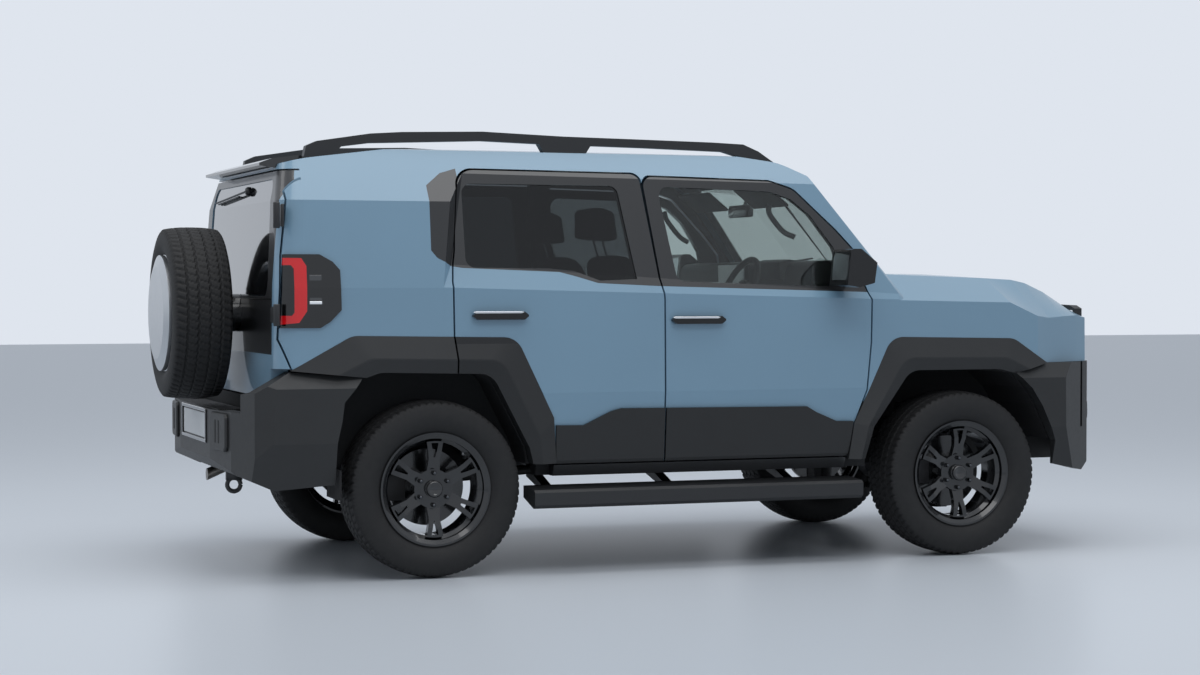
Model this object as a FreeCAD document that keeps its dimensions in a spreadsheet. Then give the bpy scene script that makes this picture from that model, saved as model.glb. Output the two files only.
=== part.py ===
import FreeCAD, Part
import math
import os

import Sketcher

doc = FreeCAD.newDocument("OffRoadCar")
sheet = doc.addObject("Spreadsheet::Sheet", "Sizes")

# Driving dimensions in millimetres, degrees where the name says so.
# The front is +X, the left side +Y, and the tyres stand on the ground at zero height.
SIZES = (
    ("wheelbase", 2580.0),
    ("front_overhang", 920.0),
    ("rear_overhang", 1075.0),
    ("overall_width", 1855.0),
    ("overall_height", 1960.0),
    ("track", 1550.0),
    ("overrun", 60.0),
    ("seam", 0.4),
    ("panel_gap", 8.0),
    ("door_wall", 75.0),
    ("door_play", 8.0),
    ("post_lap", 3.0),
    ("post_depth", 40.0),
    ("upper_wall", 48.0),
    ("roof_wall", 38.0),
    ("nose_wall", 34.0),
    ("glass_inset", 5.0),
    ("glass_thickness", 5.0),
    ("rear_corner_radius", 105.0),
    ("pillar_radius", 75.0),
    ("screen_bend_radius", 900.0),
    ("screen_sweep", 60.0),
    ("opening_radius", 45.0),
    ("roof_bend_radius", 900.0),
    ("roof_brow_radius", 130.0),
    ("tyre_diameter", 775.0),
    ("tyre_width", 265.0),
    ("tyre_bead_diameter", 462.0),
    ("rim_diameter", 496.0),
    ("rim_width", 224.0),
    ("rim_wall", 9.0),
    ("rim_lip", 12.0),
    ("spoke_thickness", 30.0),
    ("spoke_width", 62.0),
    ("spoke_dish", 26.0),
    ("hub_diameter", 172.0),
    ("hub_cap_diameter", 74.0),
    ("disc_diameter", 338.0),
    ("disc_thickness", 28.0),
    ("disc_offset", 46.0),
    ("bearing_clearance", 0.5),
    ("axle_tube_diameter", 86.0),
    ("axle_stub_diameter", 56.0),
    ("differential_diameter", 250.0),
    ("differential_length", 210.0),
    ("kingpin_offset", 110.0),
    ("knuckle_height", 300.0),
    ("knuckle_depth", 60.0),
    ("ball_joint_diameter", 40.0),
    ("steering_arm_reach", 118.0),
    ("rack_diameter", 34.0),
    ("rack_housing_diameter", 56.0),
    ("rack_travel", 66.0),
    ("frame_width", 820.0),
    ("frame_rail_width", 76.0),
    ("frame_rail_height", 120.0),
    ("frame_level", 530.0),
    ("frame_kick", 130.0),
    ("cross_tube_diameter", 70.0),
    ("floor_level", 610.0),
    ("floor_thickness", 30.0),
    ("flare_root", 95.0),
    ("flare_rise", 24.0),
    ("flare_corner_radius", 95.0),
    ("cladding_depth", 14.0),
    ("step_thickness", 46.0),
    ("rail_width", 46.0),
    ("rail_position", 655.0),
    ("bumper_wall", 70.0),
    ("spare_height", 1150.0),
    ("spare_offset", 60.0),
    ("spare_gap", 22.0),
    ("lamp_proud", 12.0),
    ("lamp_depth", 70.0),
    ("roof_half_width", 650.0),
    ("grille_depth", 41.0),
    ("liner_thickness", 12.0),
    ("liner_gap", 8.0),
    ("flap_thickness", 8.0),
    ("steering_wheel_diameter", 370.0),
    ("steering_rim_diameter", 30.0),
    ("column_diameter", 50.0),
    ("seat_width", 510.0),
    ("seat_position", 370.0),
    ("engine_length", 560.0),
    ("engine_width", 500.0),
    ("engine_height", 520.0),
    ("gearbox_diameter", 190.0),
    ("shaft_diameter", 70.0),
    ("half_shaft_diameter", 32.0),
    ("pipe_diameter", 56.0),
    ("silencer_diameter", 170.0),
    ("tank_height", 150.0),
    ("arm_thickness", 26.0),
    ("arm_width", 50.0),
    ("arm_spread", 340.0),
    ("spring_diameter", 110.0),
    ("link_diameter", 42.0),
    ("tie_rod_diameter", 22.0),
    ("tie_rod_drop", 30.0),
    ("caliper_gap", 5.0),
    ("caliper_wall", 13.0),
    ("caliper_length", 110.0),
    ("mirror_width", 190.0),
    ("handle_projection", 26.0),
    ("wheel_clearance", 8.0),
    ("rest_gap", 0.3),
    ("leaf_height", 60.0),
    ("tower_level", 700.0),
    ("tower_reach", 540.0),
    ("tower_length", 98.0),
    ("spring_offset", 65.0),
    ("column_gap", 60.0),
    ("cover_diameter", 522.0),
    ("rim_well", 16.0),
    ("hub_bore_end", 34.0),
    ("stub_end", 4.0),
    ("cap_height", 14.0),
    ("link_position", 440.0),
    ("damper_position", 470.0),
    ("shaft_gap", 22.0),
    ("engine_level", 560.0),
    ("silencer_length", 420.0),
    ("column_length", 330.0),
)

for row, (alias, value) in enumerate(SIZES, start=1):
    sheet.set(f"A{row}", alias)
    sheet.set(f"B{row}", str(value))
    sheet.setAlias(f"B{row}", alias)
doc.recompute()


class Size:
    """A length with the value it has now and the expression that keeps it bound."""

    def __init__(self, value, text):
        self.value = float(value)
        self.text = text

    def __add__(self, other):
        return Size(self.value + worth(other), f"({self.text} + {wording(other)})")

    __radd__ = __add__

    def __sub__(self, other):
        return Size(self.value - worth(other), f"({self.text} - {wording(other)})")

    def __rsub__(self, other):
        return Size(worth(other) - self.value, f"({wording(other)} - {self.text})")

    def __mul__(self, other):
        return Size(self.value * worth(other), f"({self.text} * {wording(other)})")

    __rmul__ = __mul__

    def __truediv__(self, other):
        return Size(self.value / worth(other), f"({self.text} / {wording(other)})")

    def __neg__(self):
        return Size(-self.value, f"(0 - {self.text})")


def worth(size):
    return size.value if isinstance(size, Size) else float(size)


def wording(size):
    if isinstance(size, Size):
        return size.text
    return f"({float(size):.9f})" if size < 0 else f"{float(size):.9f}"


class Sheet:
    """The sheet's sizes as attributes."""

    def __init__(self, rows):
        for name, number in rows:
            setattr(self, name, Size(number, f"Sizes.{name}"))


S = Sheet(SIZES)
ZERO = S.wheelbase * 0
half_width = S.overall_width / 2
half_length = (S.front_overhang + S.wheelbase + S.rear_overhang) / 2
rear_axle = S.rear_overhang - half_length
front_axle = half_length - S.front_overhang
axle_level = S.tyre_diameter / 2
half_track = S.track / 2


def along(station):
    """The place along the car: 0 at the rear axle, 1 at the front axle, -1 and 2 at the two ends."""
    if station < 0:
        return rear_axle + S.rear_overhang * station
    if station > 1:
        return front_axle + S.front_overhang * (station - 1)
    return rear_axle + S.wheelbase * station


def level(share):
    """A height as a share of the overall height."""
    return S.overall_height * share


def across(share):
    """A distance from the middle plane as a share of the half width."""
    return half_width * share


def bind(thing, name, size):
    """Give one property its value, and the expression behind it where it has one."""
    if isinstance(size, Size):
        thing.setExpression(name, size.text)
    else:
        setattr(thing, name, size)


def place(thing, x=None, y=None, z=None):
    """Bind the three coordinates of an object's base point."""
    for axis, size in (("x", x), ("y", y), ("z", z)):
        if size is not None:
            bind(thing, f"Placement.Base.{axis}", size)
    return thing


def origin_plane(body, role):
    return next(f for f in body.Origin.OriginFeatures if f.Role == role)


def unit(start, end):
    run = (end[0] - start[0], end[1] - start[1])
    size = math.hypot(*run)
    return (run[0] / size, run[1] / size)


def sketch_on(body, name, plane, offset=None, tilt=None):
    """A sketch flat on one of the body's own origin planes, moved along its normal and tilted."""
    sketch = body.newObject("Sketcher::SketchObject", name)
    sketch.AttachmentSupport = [(origin_plane(body, plane), "")]
    sketch.MapMode = "FlatFace"
    if tilt is not None:
        axis = FreeCAD.Vector(0, 1, 0)
        turn = FreeCAD.Rotation(axis, worth(tilt))
        sketch.AttachmentOffset = FreeCAD.Placement(FreeCAD.Vector(), turn)
        sketch.setExpression("AttachmentOffset.Rotation.Angle", tilt.text)
    if offset is not None:
        sketch.setExpression("AttachmentOffset.Base.z", offset.text)
    return sketch


def draw(sketch, points):
    """Draw a closed outline: each point is across, up and, where the corner is round, a radius."""
    spots = [(worth(p[0]), worth(p[1])) for p in points]
    count = len(points)
    radii = [p[2] if len(p) > 2 else None for p in points]
    leave, reach, arcs = {}, {}, {}
    for i, spot in enumerate(spots):
        before = unit(spot, spots[i - 1])
        after = unit(spot, spots[(i + 1) % count])
        if radii[i] is None:
            leave[i] = reach[i] = spot
            continue
        turn = math.acos(max(-1.0, min(1.0, before[0] * after[0] + before[1] * after[1])))
        tangent = worth(radii[i]) / math.tan(turn / 2)
        reach[i] = (spot[0] + before[0] * tangent, spot[1] + before[1] * tangent)
        leave[i] = (spot[0] + after[0] * tangent, spot[1] + after[1] * tangent)
        middle = unit((0, 0), (before[0] + after[0], before[1] + after[1]))
        depth = worth(radii[i]) / math.sin(turn / 2)
        arcs[i] = (spot[0] + middle[0] * depth, spot[1] + middle[1] * depth)
    lines = []
    for i in range(count):
        j = (i + 1) % count
        start, end = leave[i], reach[j]
        edge = Part.LineSegment(FreeCAD.Vector(*start, 0), FreeCAD.Vector(*end, 0))
        lines.append(sketch.addGeometry(edge, False))
    rules, names = [], []

    def rule(*terms, size=None):
        rules.append(Sketcher.Constraint(*terms))
        names.append(size)

    for i in range(count):
        into, out = lines[i - 1], lines[i]
        u, v = points[i][0], points[i][1]
        if radii[i] is None:
            rule("Coincident", into, 2, out, 1)
            rule("DistanceX", -1, 1, out, 1, worth(u), size=u)
            rule("DistanceY", -1, 1, out, 1, worth(v), size=v)
            continue
        centre = FreeCAD.Vector(*arcs[i], 0)
        first = FreeCAD.Vector(*reach[i], 0)
        last = FreeCAD.Vector(*leave[i], 0)
        spin = (first - centre).cross(last - centre).z
        ring = Part.Circle(centre, FreeCAD.Vector(0, 0, 1), worth(radii[i]))
        ends = (first, last) if spin > 0 else (last, first)
        angles = [ring.parameter(end) for end in ends]
        arc = sketch.addGeometry(Part.ArcOfCircle(ring, *angles), False)
        tip = sketch.addGeometry(Part.Point(FreeCAD.Vector(*spots[i], 0)), True)
        at_first, at_last = (1, 2) if spin > 0 else (2, 1)
        rule("Tangent", into, 2, arc, at_first)
        rule("Tangent", out, 1, arc, at_last)
        rule("PointOnObject", tip, 1, into)
        rule("PointOnObject", tip, 1, out)
        rule("Radius", arc, worth(radii[i]), size=radii[i])
        rule("DistanceX", -1, 1, tip, 1, worth(u), size=u)
        rule("DistanceY", -1, 1, tip, 1, worth(v), size=v)
    first = sketch.addConstraint(rules)
    start = first[0] if isinstance(first, (tuple, list)) else 0
    for index, size in enumerate(names, start=start):
        if isinstance(size, Size):
            sketch.setExpression(f"Constraints[{index}]", size.text)
    return sketch


def prism(name, plane, points, start, depth):
    """An outline padded along its plane's normal: +Z on XY, -Y on XZ and +X on YZ."""
    body = doc.addObject("PartDesign::Body", name)
    sketch = draw(sketch_on(body, f"{name}_outline", f"{plane}_Plane", start), points)
    pad = body.newObject("PartDesign::Pad", f"{name}_pad")
    pad.Profile = sketch
    bind(pad, "Length", depth)
    body.Tip = pad
    return body


def loft(name, plane, sections):
    """A ruled loft through outlines: each section is (distance along the normal, tilt, points)."""
    body = doc.addObject("PartDesign::Body", name)
    sketches = []
    for index, (start, tilt, points) in enumerate(sections):
        sketch = sketch_on(body, f"{name}_section_{index}", f"{plane}_Plane", start, tilt)
        sketches.append(draw(sketch, points))
    shape = body.newObject("PartDesign::AdditiveLoft", f"{name}_loft")
    shape.Profile = sketches[0]
    shape.Sections = sketches[1:]
    shape.Ruled = True
    body.Tip = shape
    return body


def turned(name, points):
    """An outline of (radius, y) points turned about the body's own Y axis."""
    body = doc.addObject("PartDesign::Body", name)
    sketch = draw(sketch_on(body, f"{name}_outline", "XY_Plane"), points)
    turn = body.newObject("PartDesign::Revolution", f"{name}_turn")
    turn.Profile = sketch
    turn.ReferenceAxis = (sketch, ["V_Axis"])
    turn.Angle = 360
    body.Tip = turn
    return body


def strut(name, plane, radius, start, end):
    """A round bar from one point to another, its ends flat on the named plane."""
    main, first, second = {"YZ": (0, 1, 2), "XY": (2, 0, 1), "XZ": (1, 0, 2)}[plane]
    body = doc.addObject("PartDesign::Body", name)
    offset = start[main] if plane != "XZ" else ZERO - start[main]
    sketch = sketch_on(body, f"{name}_outline", f"{plane}_Plane", offset)
    centre = FreeCAD.Vector(worth(start[first]), worth(start[second]), 0)
    ring = sketch.addGeometry(Part.Circle(centre, FreeCAD.Vector(0, 0, 1), worth(radius)), False)
    sketch.addConstraint(Sketcher.Constraint("Radius", ring, worth(radius)))
    sketch.addConstraint(Sketcher.Constraint("DistanceX", -1, 1, ring, 3, worth(start[first])))
    sketch.addConstraint(Sketcher.Constraint("DistanceY", -1, 1, ring, 3, worth(start[second])))
    for index, size in enumerate((radius, start[first], start[second])):
        sketch.setExpression(f"Constraints[{index}]", size.text)
    run = end[main] - start[main]
    pad = body.newObject("PartDesign::Pad", f"{name}_pad")
    pad.Profile = sketch
    pad.UseCustomVector = True
    pad.AlongSketchNormal = True
    pad.Direction = FreeCAD.Vector(*[worth(end[i] - start[i]) for i in range(3)])
    for axis, i in (("x", 0), ("y", 1), ("z", 2)):
        pad.setExpression(f"Direction.{axis}", (end[i] - start[i]).text)
    bind(pad, "Length", run if plane != "XZ" else ZERO - run)
    body.Tip = pad
    return body


def block(name, x0, x1, y0, y1, z0, z1):
    """A box between two corners."""
    box = doc.addObject("Part::Box", name)
    bind(box, "Length", x1 - x0)
    bind(box, "Width", y1 - y0)
    bind(box, "Height", z1 - z0)
    return place(box, x0, y0, z0)


AXES = {"x": FreeCAD.Rotation(FreeCAD.Vector(0, 1, 0), 90),
        "y": FreeCAD.Rotation(FreeCAD.Vector(1, 0, 0), -90),
        "z": FreeCAD.Rotation()}


def rod(name, axis, radius, length, x, y, z):
    """A cylinder from a base point along one axis."""
    bar = doc.addObject("Part::Cylinder", name)
    bind(bar, "Radius", radius)
    bind(bar, "Height", length)
    bar.Placement = FreeCAD.Placement(FreeCAD.Vector(), AXES[axis])
    return place(bar, x, y, z)


def cut(name, base, *tools):
    """The base with the tools taken away."""
    result = doc.addObject("Part::Cut", name)
    result.Base = base
    result.Tool = tools[0] if len(tools) == 1 else fuse(f"{name}_tools", *tools)
    return result


def fuse(name, *shapes):
    """The shapes joined into one."""
    result = doc.addObject("Part::MultiFuse", name)
    result.Shapes = list(shapes)
    return result


def common(name, *shapes):
    """What all the shapes share."""
    result = doc.addObject("Part::MultiCommon", name)
    result.Shapes = list(shapes)
    return result


def mirror(name, shape):
    """The shape on the other side of the middle plane."""
    result = doc.addObject("Part::Mirroring", name)
    result.Source = shape
    result.Normal = FreeCAD.Vector(0, 1, 0)
    return result


def group(name, *shapes):
    """Separate solids kept in one piece of the assembly."""
    result = doc.addObject("Part::Compound", name)
    result.Links = list(shapes)
    return result


def moved(name, shape, x=None, y=None, z=None):
    """A bound copy of a shape at another place."""
    result = doc.addObject("Part::Compound", name)
    result.Links = [shape]
    return place(result, x, y, z)


NODES = []


def node(name, shape):
    """Keep one shape as a piece of the car under its own label."""
    shape.Label = name
    NODES.append(shape)
    return shape


def grown(points, gap):
    """The same outline with every side moved outwards by a gap, or inwards where it is negative."""
    spots = [(worth(p[0]), worth(p[1])) for p in points]
    count = len(spots)
    area = sum(spots[i - 1][0] * spots[i][1] - spots[i][0] * spots[i - 1][1] for i in range(count))
    side = 1.0 if area > 0 else -1.0
    result = []
    for i, point in enumerate(points):
        before = unit(spots[i - 1], spots[i])
        after = unit(spots[i], spots[(i + 1) % count])
        normal_a = (before[1] * side, -before[0] * side)
        normal_b = (after[1] * side, -after[0] * side)
        scale = 1.0 + normal_a[0] * normal_b[0] + normal_a[1] * normal_b[1]
        shift = ((normal_a[0] + normal_b[0]) / scale, (normal_a[1] + normal_b[1]) / scale)
        result.append((point[0] + gap * shift[0], point[1] + gap * shift[1]) + tuple(point[2:]))
    return result


def side_view(shares, radii=None):
    """Points of a side outline from (station, height share) pairs, with radii by index."""
    radii = radii or {}
    points = []
    for index, (station, share) in enumerate(shares):
        corner = (radii[index],) if index in radii else ()
        points.append((along(station), level(share)) + corner)
    return points


# The right half of the cabin hull. Its corner line runs from the sill to the roof edge:
# height share, half width share and station of the rear face.
CABIN_CORNER_SHARES = ((0.2190, 0.916, -0.630), (0.2550, 0.949, -0.648), (0.4080, 0.976, -0.655),
                       (0.6450, 0.968, -0.650), (0.8370, 0.915, -0.630), (0.9000, 0.862, -0.612),
                       (0.9550, 0.735, -0.585))
REAR_BROW_SHARE = (-0.592, 0.9205)
# Rear corners are rounded along these stretches of the corner line.
ROUNDED_STRETCHES = ((2, 3), (3, 4), (4, 6))
ROOF_CROWN_SHARES = ((0.500, 0.9640), (0.000, 0.9680))
ROOFLINE_SHARES = ((-0.514, 0.931), (-0.099, 0.960), (0.229, 0.966), (0.551, 0.961), (0.663, 0.941),
                   (0.748, 0.888), (0.911, 0.622), (0.911, 0.100))
# The belt line, where the shoulder meets the side windows: station, half width share, height share.
BELT_REAR_SHARE = (0.000, 0.905, 0.6995)
BELT_FRONT_SHARE = (0.760, 0.947, 0.6390)
SHOULDER_SLOPE_SHARE = 0.56
GREENHOUSE_SLOPE_SHARE = 0.212
BEVEL_SHARES = ((-0.048, 1.070), (0.130, 0.600))
SCREEN_EDGE_SHARE = 0.40
SCREEN_LEAN_SHARE = 0.165


def oblique(name, points, start, depth, lean_x, lean_y):
    """A plan outline padded upwards along a leaning direction."""
    body = doc.addObject("PartDesign::Body", name)
    sketch = draw(sketch_on(body, f"{name}_outline", "XY_Plane", start), points)
    pad = body.newObject("PartDesign::Pad", f"{name}_pad")
    pad.Profile = sketch
    pad.UseCustomVector = True
    pad.AlongSketchNormal = True
    pad.Direction = FreeCAD.Vector(worth(lean_x), worth(lean_y), 1)
    pad.setExpression("Direction.x", wording(lean_x))
    pad.setExpression("Direction.y", wording(lean_y))
    bind(pad, "Length", depth)
    body.Tip = pad
    return body


def cabin_section(low, high, top):
    """The right half of the section across the car."""
    points = [(ZERO, level(CABIN_CORNER_SHARES[0][0]) - low)]
    for index, (height, width, _) in enumerate(CABIN_CORNER_SHARES):
        wall = low if index < 4 else high
        drop = low if index == 0 else ZERO
        points.append((wall - across(width), level(height) - drop))
    points[-1] = (points[-1][0], points[-1][1] - top)
    for width, height in ROOF_CROWN_SHARES:
        points.append((ZERO - across(width), level(height) - top))
    return points


def cabin_profile(low, high, top):
    """The side outline of the cabin, from the sill over the rear face and roof to the windscreen."""
    rear = []
    for index, (height, _, station) in enumerate(CABIN_CORNER_SHARES[:-1]):
        wall = low if index < 4 else high
        drop = low if index == 0 else ZERO
        rear.append((along(station) + wall, level(height) - drop))
    rear.append((along(REAR_BROW_SHARE[0]) + high, level(REAR_BROW_SHARE[1]) - top))
    radii = {0: S.roof_bend_radius, 1: S.roof_bend_radius * 2, 2: S.roof_bend_radius * 4,
             3: S.roof_bend_radius, 4: S.roof_brow_radius * 2, 5: S.roof_brow_radius}
    roof = side_view(ROOFLINE_SHARES, radii)
    roof = [(p[0], p[1] - top) + tuple(p[2:]) for p in roof]
    for index in (5, 6, 7):
        point = roof[index]
        roof[index] = (point[0] - high, point[1]) + tuple(point[2:])
    roof[7] = (roof[7][0], rear[0][1])
    roof[6] = (roof[6][0], level(ROOFLINE_SHARES[6][1]))
    return rear + roof


def corner_rounding(name, stretch, low, high):
    """An oblique prism that rounds the rear corner along one stretch of the corner line."""
    first, second = CABIN_CORNER_SHARES[stretch[0]], CABIN_CORNER_SHARES[stretch[1]]
    wall_a = low if stretch[0] < 4 else high
    wall_b = low if stretch[1] < 4 else high
    rise = level(second[0] - first[0])
    lean_x = (along(second[2]) + wall_b - along(first[2]) - wall_a) / rise
    lean_y = (across(first[1]) - wall_a - across(second[1]) + wall_b) / rise
    start = level(CABIN_CORNER_SHARES[0][0]) - S.overrun * 2
    fall = level(first[0]) - start
    x = along(first[2]) + wall_a - lean_x * fall
    y = wall_a - across(first[1]) - lean_y * fall
    far = half_length
    points = [(x, y, S.rear_corner_radius - wall_a / 2), (far, y), (far, half_width), (x, half_width)]
    return oblique(name, points, start, S.overall_height, lean_x, lean_y)


def screen_rounding(name, high):
    """An oblique prism whose front is the swept windscreen with its rounded pillar corner."""
    foot, brow = ROOFLINE_SHARES[6], ROOFLINE_SHARES[5]
    rise = level(brow[1] - foot[1])
    lean_x = (along(brow[0]) - along(foot[0])) / rise
    lean_y = (S.overall_width * SCREEN_LEAN_SHARE) / S.overall_width
    start = level(CABIN_CORNER_SHARES[0][0]) - S.overrun * 2
    fall = level(foot[1]) - start
    x = along(foot[0]) - high - lean_x * fall
    y = high - across(BELT_FRONT_SHARE[1]) - lean_y * fall
    edge = ZERO - across(SCREEN_EDGE_SHARE)
    back = ZERO - half_length
    points = [(x, half_width), (back, half_width), (back, y - half_width * 0.3),
              (x - S.screen_sweep * 4.2, y - S.screen_sweep), (x - S.screen_sweep, y, S.pillar_radius),
              (x, edge, S.screen_bend_radius)]
    return oblique(name, points, start, S.overall_height, lean_x, lean_y)


def recess(name, grow):
    """What is taken off above the shoulder: the space outside the side windows."""
    x0, y0, z0 = along(BELT_REAR_SHARE[0]), across(BELT_REAR_SHARE[1]), level(BELT_REAR_SHARE[2])
    x1, y1, z1 = along(BELT_FRONT_SHARE[0]), across(BELT_FRONT_SHARE[1]), level(BELT_FRONT_SHARE[2])
    lean_y = (y0 - y1) / (x1 - x0)
    lean_z = (z1 - z0) / (x1 - x0)
    back = S.overrun * 4
    y, z = y0 + lean_y * back, z0 - lean_z * back
    reach = half_width * 0.45
    height = S.overall_height * 0.42
    outline = [(ZERO - y, z), (ZERO - y - reach, z - reach / SHOULDER_SLOPE_SHARE),
               (ZERO - y - reach, z + height), (height * GREENHOUSE_SLOPE_SHARE - y, z + height)]
    body = doc.addObject("PartDesign::Body", f"{name}_belt")
    sketch = sketch_on(body, f"{name}_belt_outline", "YZ_Plane", x0 - back)
    pad = body.newObject("PartDesign::Pad", f"{name}_belt_pad")
    pad.Profile = draw(sketch, grown(outline, grow))
    pad.UseCustomVector = True
    pad.AlongSketchNormal = True
    pad.Direction = FreeCAD.Vector(1, worth(lean_y), worth(lean_z))
    pad.setExpression("Direction.y", wording(lean_y))
    pad.setExpression("Direction.z", wording(lean_z))
    bind(pad, "Length", S.wheelbase * 1.2)
    body.Tip = pad
    (rear, outside), (front, inside) = BEVEL_SHARES
    plan = [(along(rear), ZERO - across(outside)), (along(1.5), ZERO - across(outside)),
            (along(1.5), ZERO - across(inside)), (along(front), ZERO - across(inside))]
    bevel = prism(f"{name}_bevel", "XY", grown(plan, grow), level(0.45), S.overall_height * 0.7)
    return common(name, body, bevel)


def half_hull(name, low, high, top):
    """The right half of the cabin, drawn in by the lower, upper and roof walls."""
    section = prism(f"{name}_section", "YZ", cabin_section(low, high, top), ZERO - half_length,
                    half_length * 2)
    profile = prism(f"{name}_profile", "XZ", cabin_profile(low, high, top), ZERO - half_width * 0.5,
                    half_width * 1.6)
    parts = [section, profile]
    for index, stretch in enumerate(ROUNDED_STRETCHES):
        parts.append(corner_rounding(f"{name}_corner_{index}", stretch, low, high))
    parts.append(screen_rounding(f"{name}_screen", high))
    return cut(name, common(f"{name}_solid", *parts), recess(f"{name}_recess", high))


outer_half = half_hull("outer_half", ZERO, ZERO, ZERO)
inner_half = half_hull("inner_half", S.door_wall, S.upper_wall, S.roof_wall)
door_play = S.door_play
lining_half = half_hull("lining_half", S.door_wall - door_play, S.upper_wall - door_play, S.roof_wall)
glass_face = half_hull("glass_face", S.glass_inset, S.glass_inset, S.glass_inset)
glass_depth = S.glass_inset + S.glass_thickness
glass_back = half_hull("glass_back", glass_depth, glass_depth, glass_depth)
post_face = half_hull("post_face", S.door_wall - S.post_lap, S.upper_wall - S.post_lap,
                      S.roof_wall - S.post_lap)
post_back = half_hull("post_back", S.door_wall + S.post_depth, S.upper_wall + S.post_depth, S.roof_wall)
cabin_shell = cut("cabin_shell", outer_half, inner_half)
door_shell = cut("door_shell", outer_half, lining_half)
glass_shell = cut("glass_shell", glass_face, glass_back)
post_shell = cut("post_shell", post_face, post_back)

# Nose hull: outlines across the car, one after another towards the front.
# Each row is station, half width share, crease level share, hood edge half width share,
# hood edge level share and the level share on the middle line.
NOSE_ROW_SHARES = (
    (0.800, 0.976, 0.6170, 0.700, 0.6810, 0.6840),
    (1.272, 0.976, 0.6090, 0.700, 0.6680, 0.6790),
    (1.435, 0.974, 0.5760, 0.695, 0.6640, 0.6750),
    (1.522, 0.936, 0.5710, 0.685, 0.6560, 0.6680),
    (1.641, 0.884, 0.5740, 0.668, 0.6340, 0.6500),
    (1.745, 0.836, 0.5760, 0.652, 0.6080, 0.6260),
    (1.826, 0.796, 0.5700, 0.640, 0.5860, 0.6020),
)
# Half widths below the crease, as shares of the half width there, with their level shares.
FLANK_SHARES = ((0.939, 0.2190), (0.972, 0.2550), (0.989, 0.3270), (1.000, 0.4080))


def nose_wire(row, wall, drop):
    _, width, crease, edge, edge_level, top_level = row
    right = [(across(width * share) - wall, level(height)) for share, height in FLANK_SHARES]
    right[0] = (right[0][0], right[0][1] - drop)
    right.append((across(width * 0.993) - wall, level(crease)))
    right.append((across(edge) - wall * 0.4, level(edge_level) - wall))
    left = [(-p[0], p[1]) for p in reversed(right)]
    return right + [(ZERO, level(top_level) - wall)] + left


def nose_hull(name, wall, drop, front):
    sections = []
    for index, row in enumerate(NOSE_ROW_SHARES):
        place_on_x = along(row[0])
        if index == len(NOSE_ROW_SHARES) - 1:
            place_on_x = place_on_x - front
        sections.append((place_on_x, None, nose_wire(row, wall, drop)))
    return loft(name, "YZ", sections)


nose_outer = nose_hull("nose_outer", ZERO, ZERO, ZERO)
nose_inner = nose_hull("nose_inner", S.nose_wall, S.overrun, S.nose_wall)
nose_shell = cut("nose_shell", nose_outer, nose_inner)

# Side openings, seen from the side, as stations and height shares. The doors meet on the post line.
REAR_DOOR_SHARES = ((0.413, 0.246), (0.413, 0.620), (0.384, 0.909), (0.048, 0.913), (0.039, 0.730),
                    (0.030, 0.658), (0.031, 0.536), (0.038, 0.446), (0.074, 0.408), (0.159, 0.246))
FRONT_DOOR_SHARES = ((0.768, 0.246), (0.776, 0.308), (0.803, 0.403), (0.812, 0.515), (0.814, 0.616),
                     (0.802, 0.656), (0.790, 0.731), (0.755, 0.782), (0.678, 0.878), (0.632, 0.897),
                     (0.387, 0.904), (0.413, 0.620), (0.413, 0.246))
REAR_GLASS_SHARES = ((0.058, 0.690), (0.205, 0.689), (0.252, 0.683), (0.298, 0.661), (0.366, 0.665),
                     (0.340, 0.879), (0.058, 0.879))
FRONT_GLASS_SHARES = ((0.442, 0.660), (0.767, 0.647), (0.748, 0.740), (0.706, 0.817), (0.671, 0.854),
                      (0.631, 0.871), (0.416, 0.879))
POST_SHARES = ((0.432, 0.236), (0.432, 0.620), (0.405, 0.940), (0.362, 0.940), (0.394, 0.620),
               (0.394, 0.236))
rear_door_line = side_view(REAR_DOOR_SHARES, {2: S.opening_radius, 3: S.opening_radius * 2})
front_door_line = side_view(FRONT_DOOR_SHARES, {8: S.opening_radius * 2, 10: S.opening_radius})
rear_glass_line = side_view(REAR_GLASS_SHARES, {0: S.opening_radius, 5: S.opening_radius,
                                                6: S.opening_radius})
front_glass_line = side_view(FRONT_GLASS_SHARES, {0: S.opening_radius, 6: S.opening_radius})

# Wheel arch flares: outer edge against the body and inner edge round the wheel.
FRONT_FLARE_OUTER_SHARES = ((0.767, 0.240), (0.778, 0.324), (0.853, 0.528), (1.293, 0.522), (1.489, 0.462))
FRONT_FLARE_INNER_SHARES = ((0.800, 0.240), (0.818, 0.316), (0.891, 0.448), (1.207, 0.448), (1.301, 0.438))
REAR_FLARE_OUTER_SHARES = ((0.212, 0.249), (0.208, 0.352), (0.141, 0.534), (-0.349, 0.540), (-0.599, 0.465))
REAR_FLARE_INNER_SHARES = ((0.171, 0.249), (0.164, 0.286), (0.097, 0.453), (-0.233, 0.459), (-0.291, 0.448))
flare_radii = {2: S.flare_corner_radius, 3: S.flare_corner_radius}
crease_share = 0.60


def between(first, second, share):
    """Points part of the way from one outline to another, corner radii kept."""
    return [(a[0] + (b[0] - a[0]) * share, a[1] + (b[1] - a[1]) * share) + tuple(a[2:])
            for a, b in zip(first, second)]


def arch_flare(name, outer, inner):
    """A band round the wheel arch whose outer face folds along a crease."""
    crease = between(outer, inner, crease_share)
    land = between(outer, inner, crease_share + 0.04)
    foot = outer + list(reversed(inner))
    ridge = crease + list(reversed(land))
    skirt = half_width - S.flare_rise
    root = prism(f"{name}_root", "XZ", foot, half_width - S.flare_root, S.flare_root - S.flare_rise)
    face = loft(f"{name}_face", "XZ", [(skirt, None, foot), (half_width, None, ridge)])
    return fuse(name, root, face)


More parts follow.
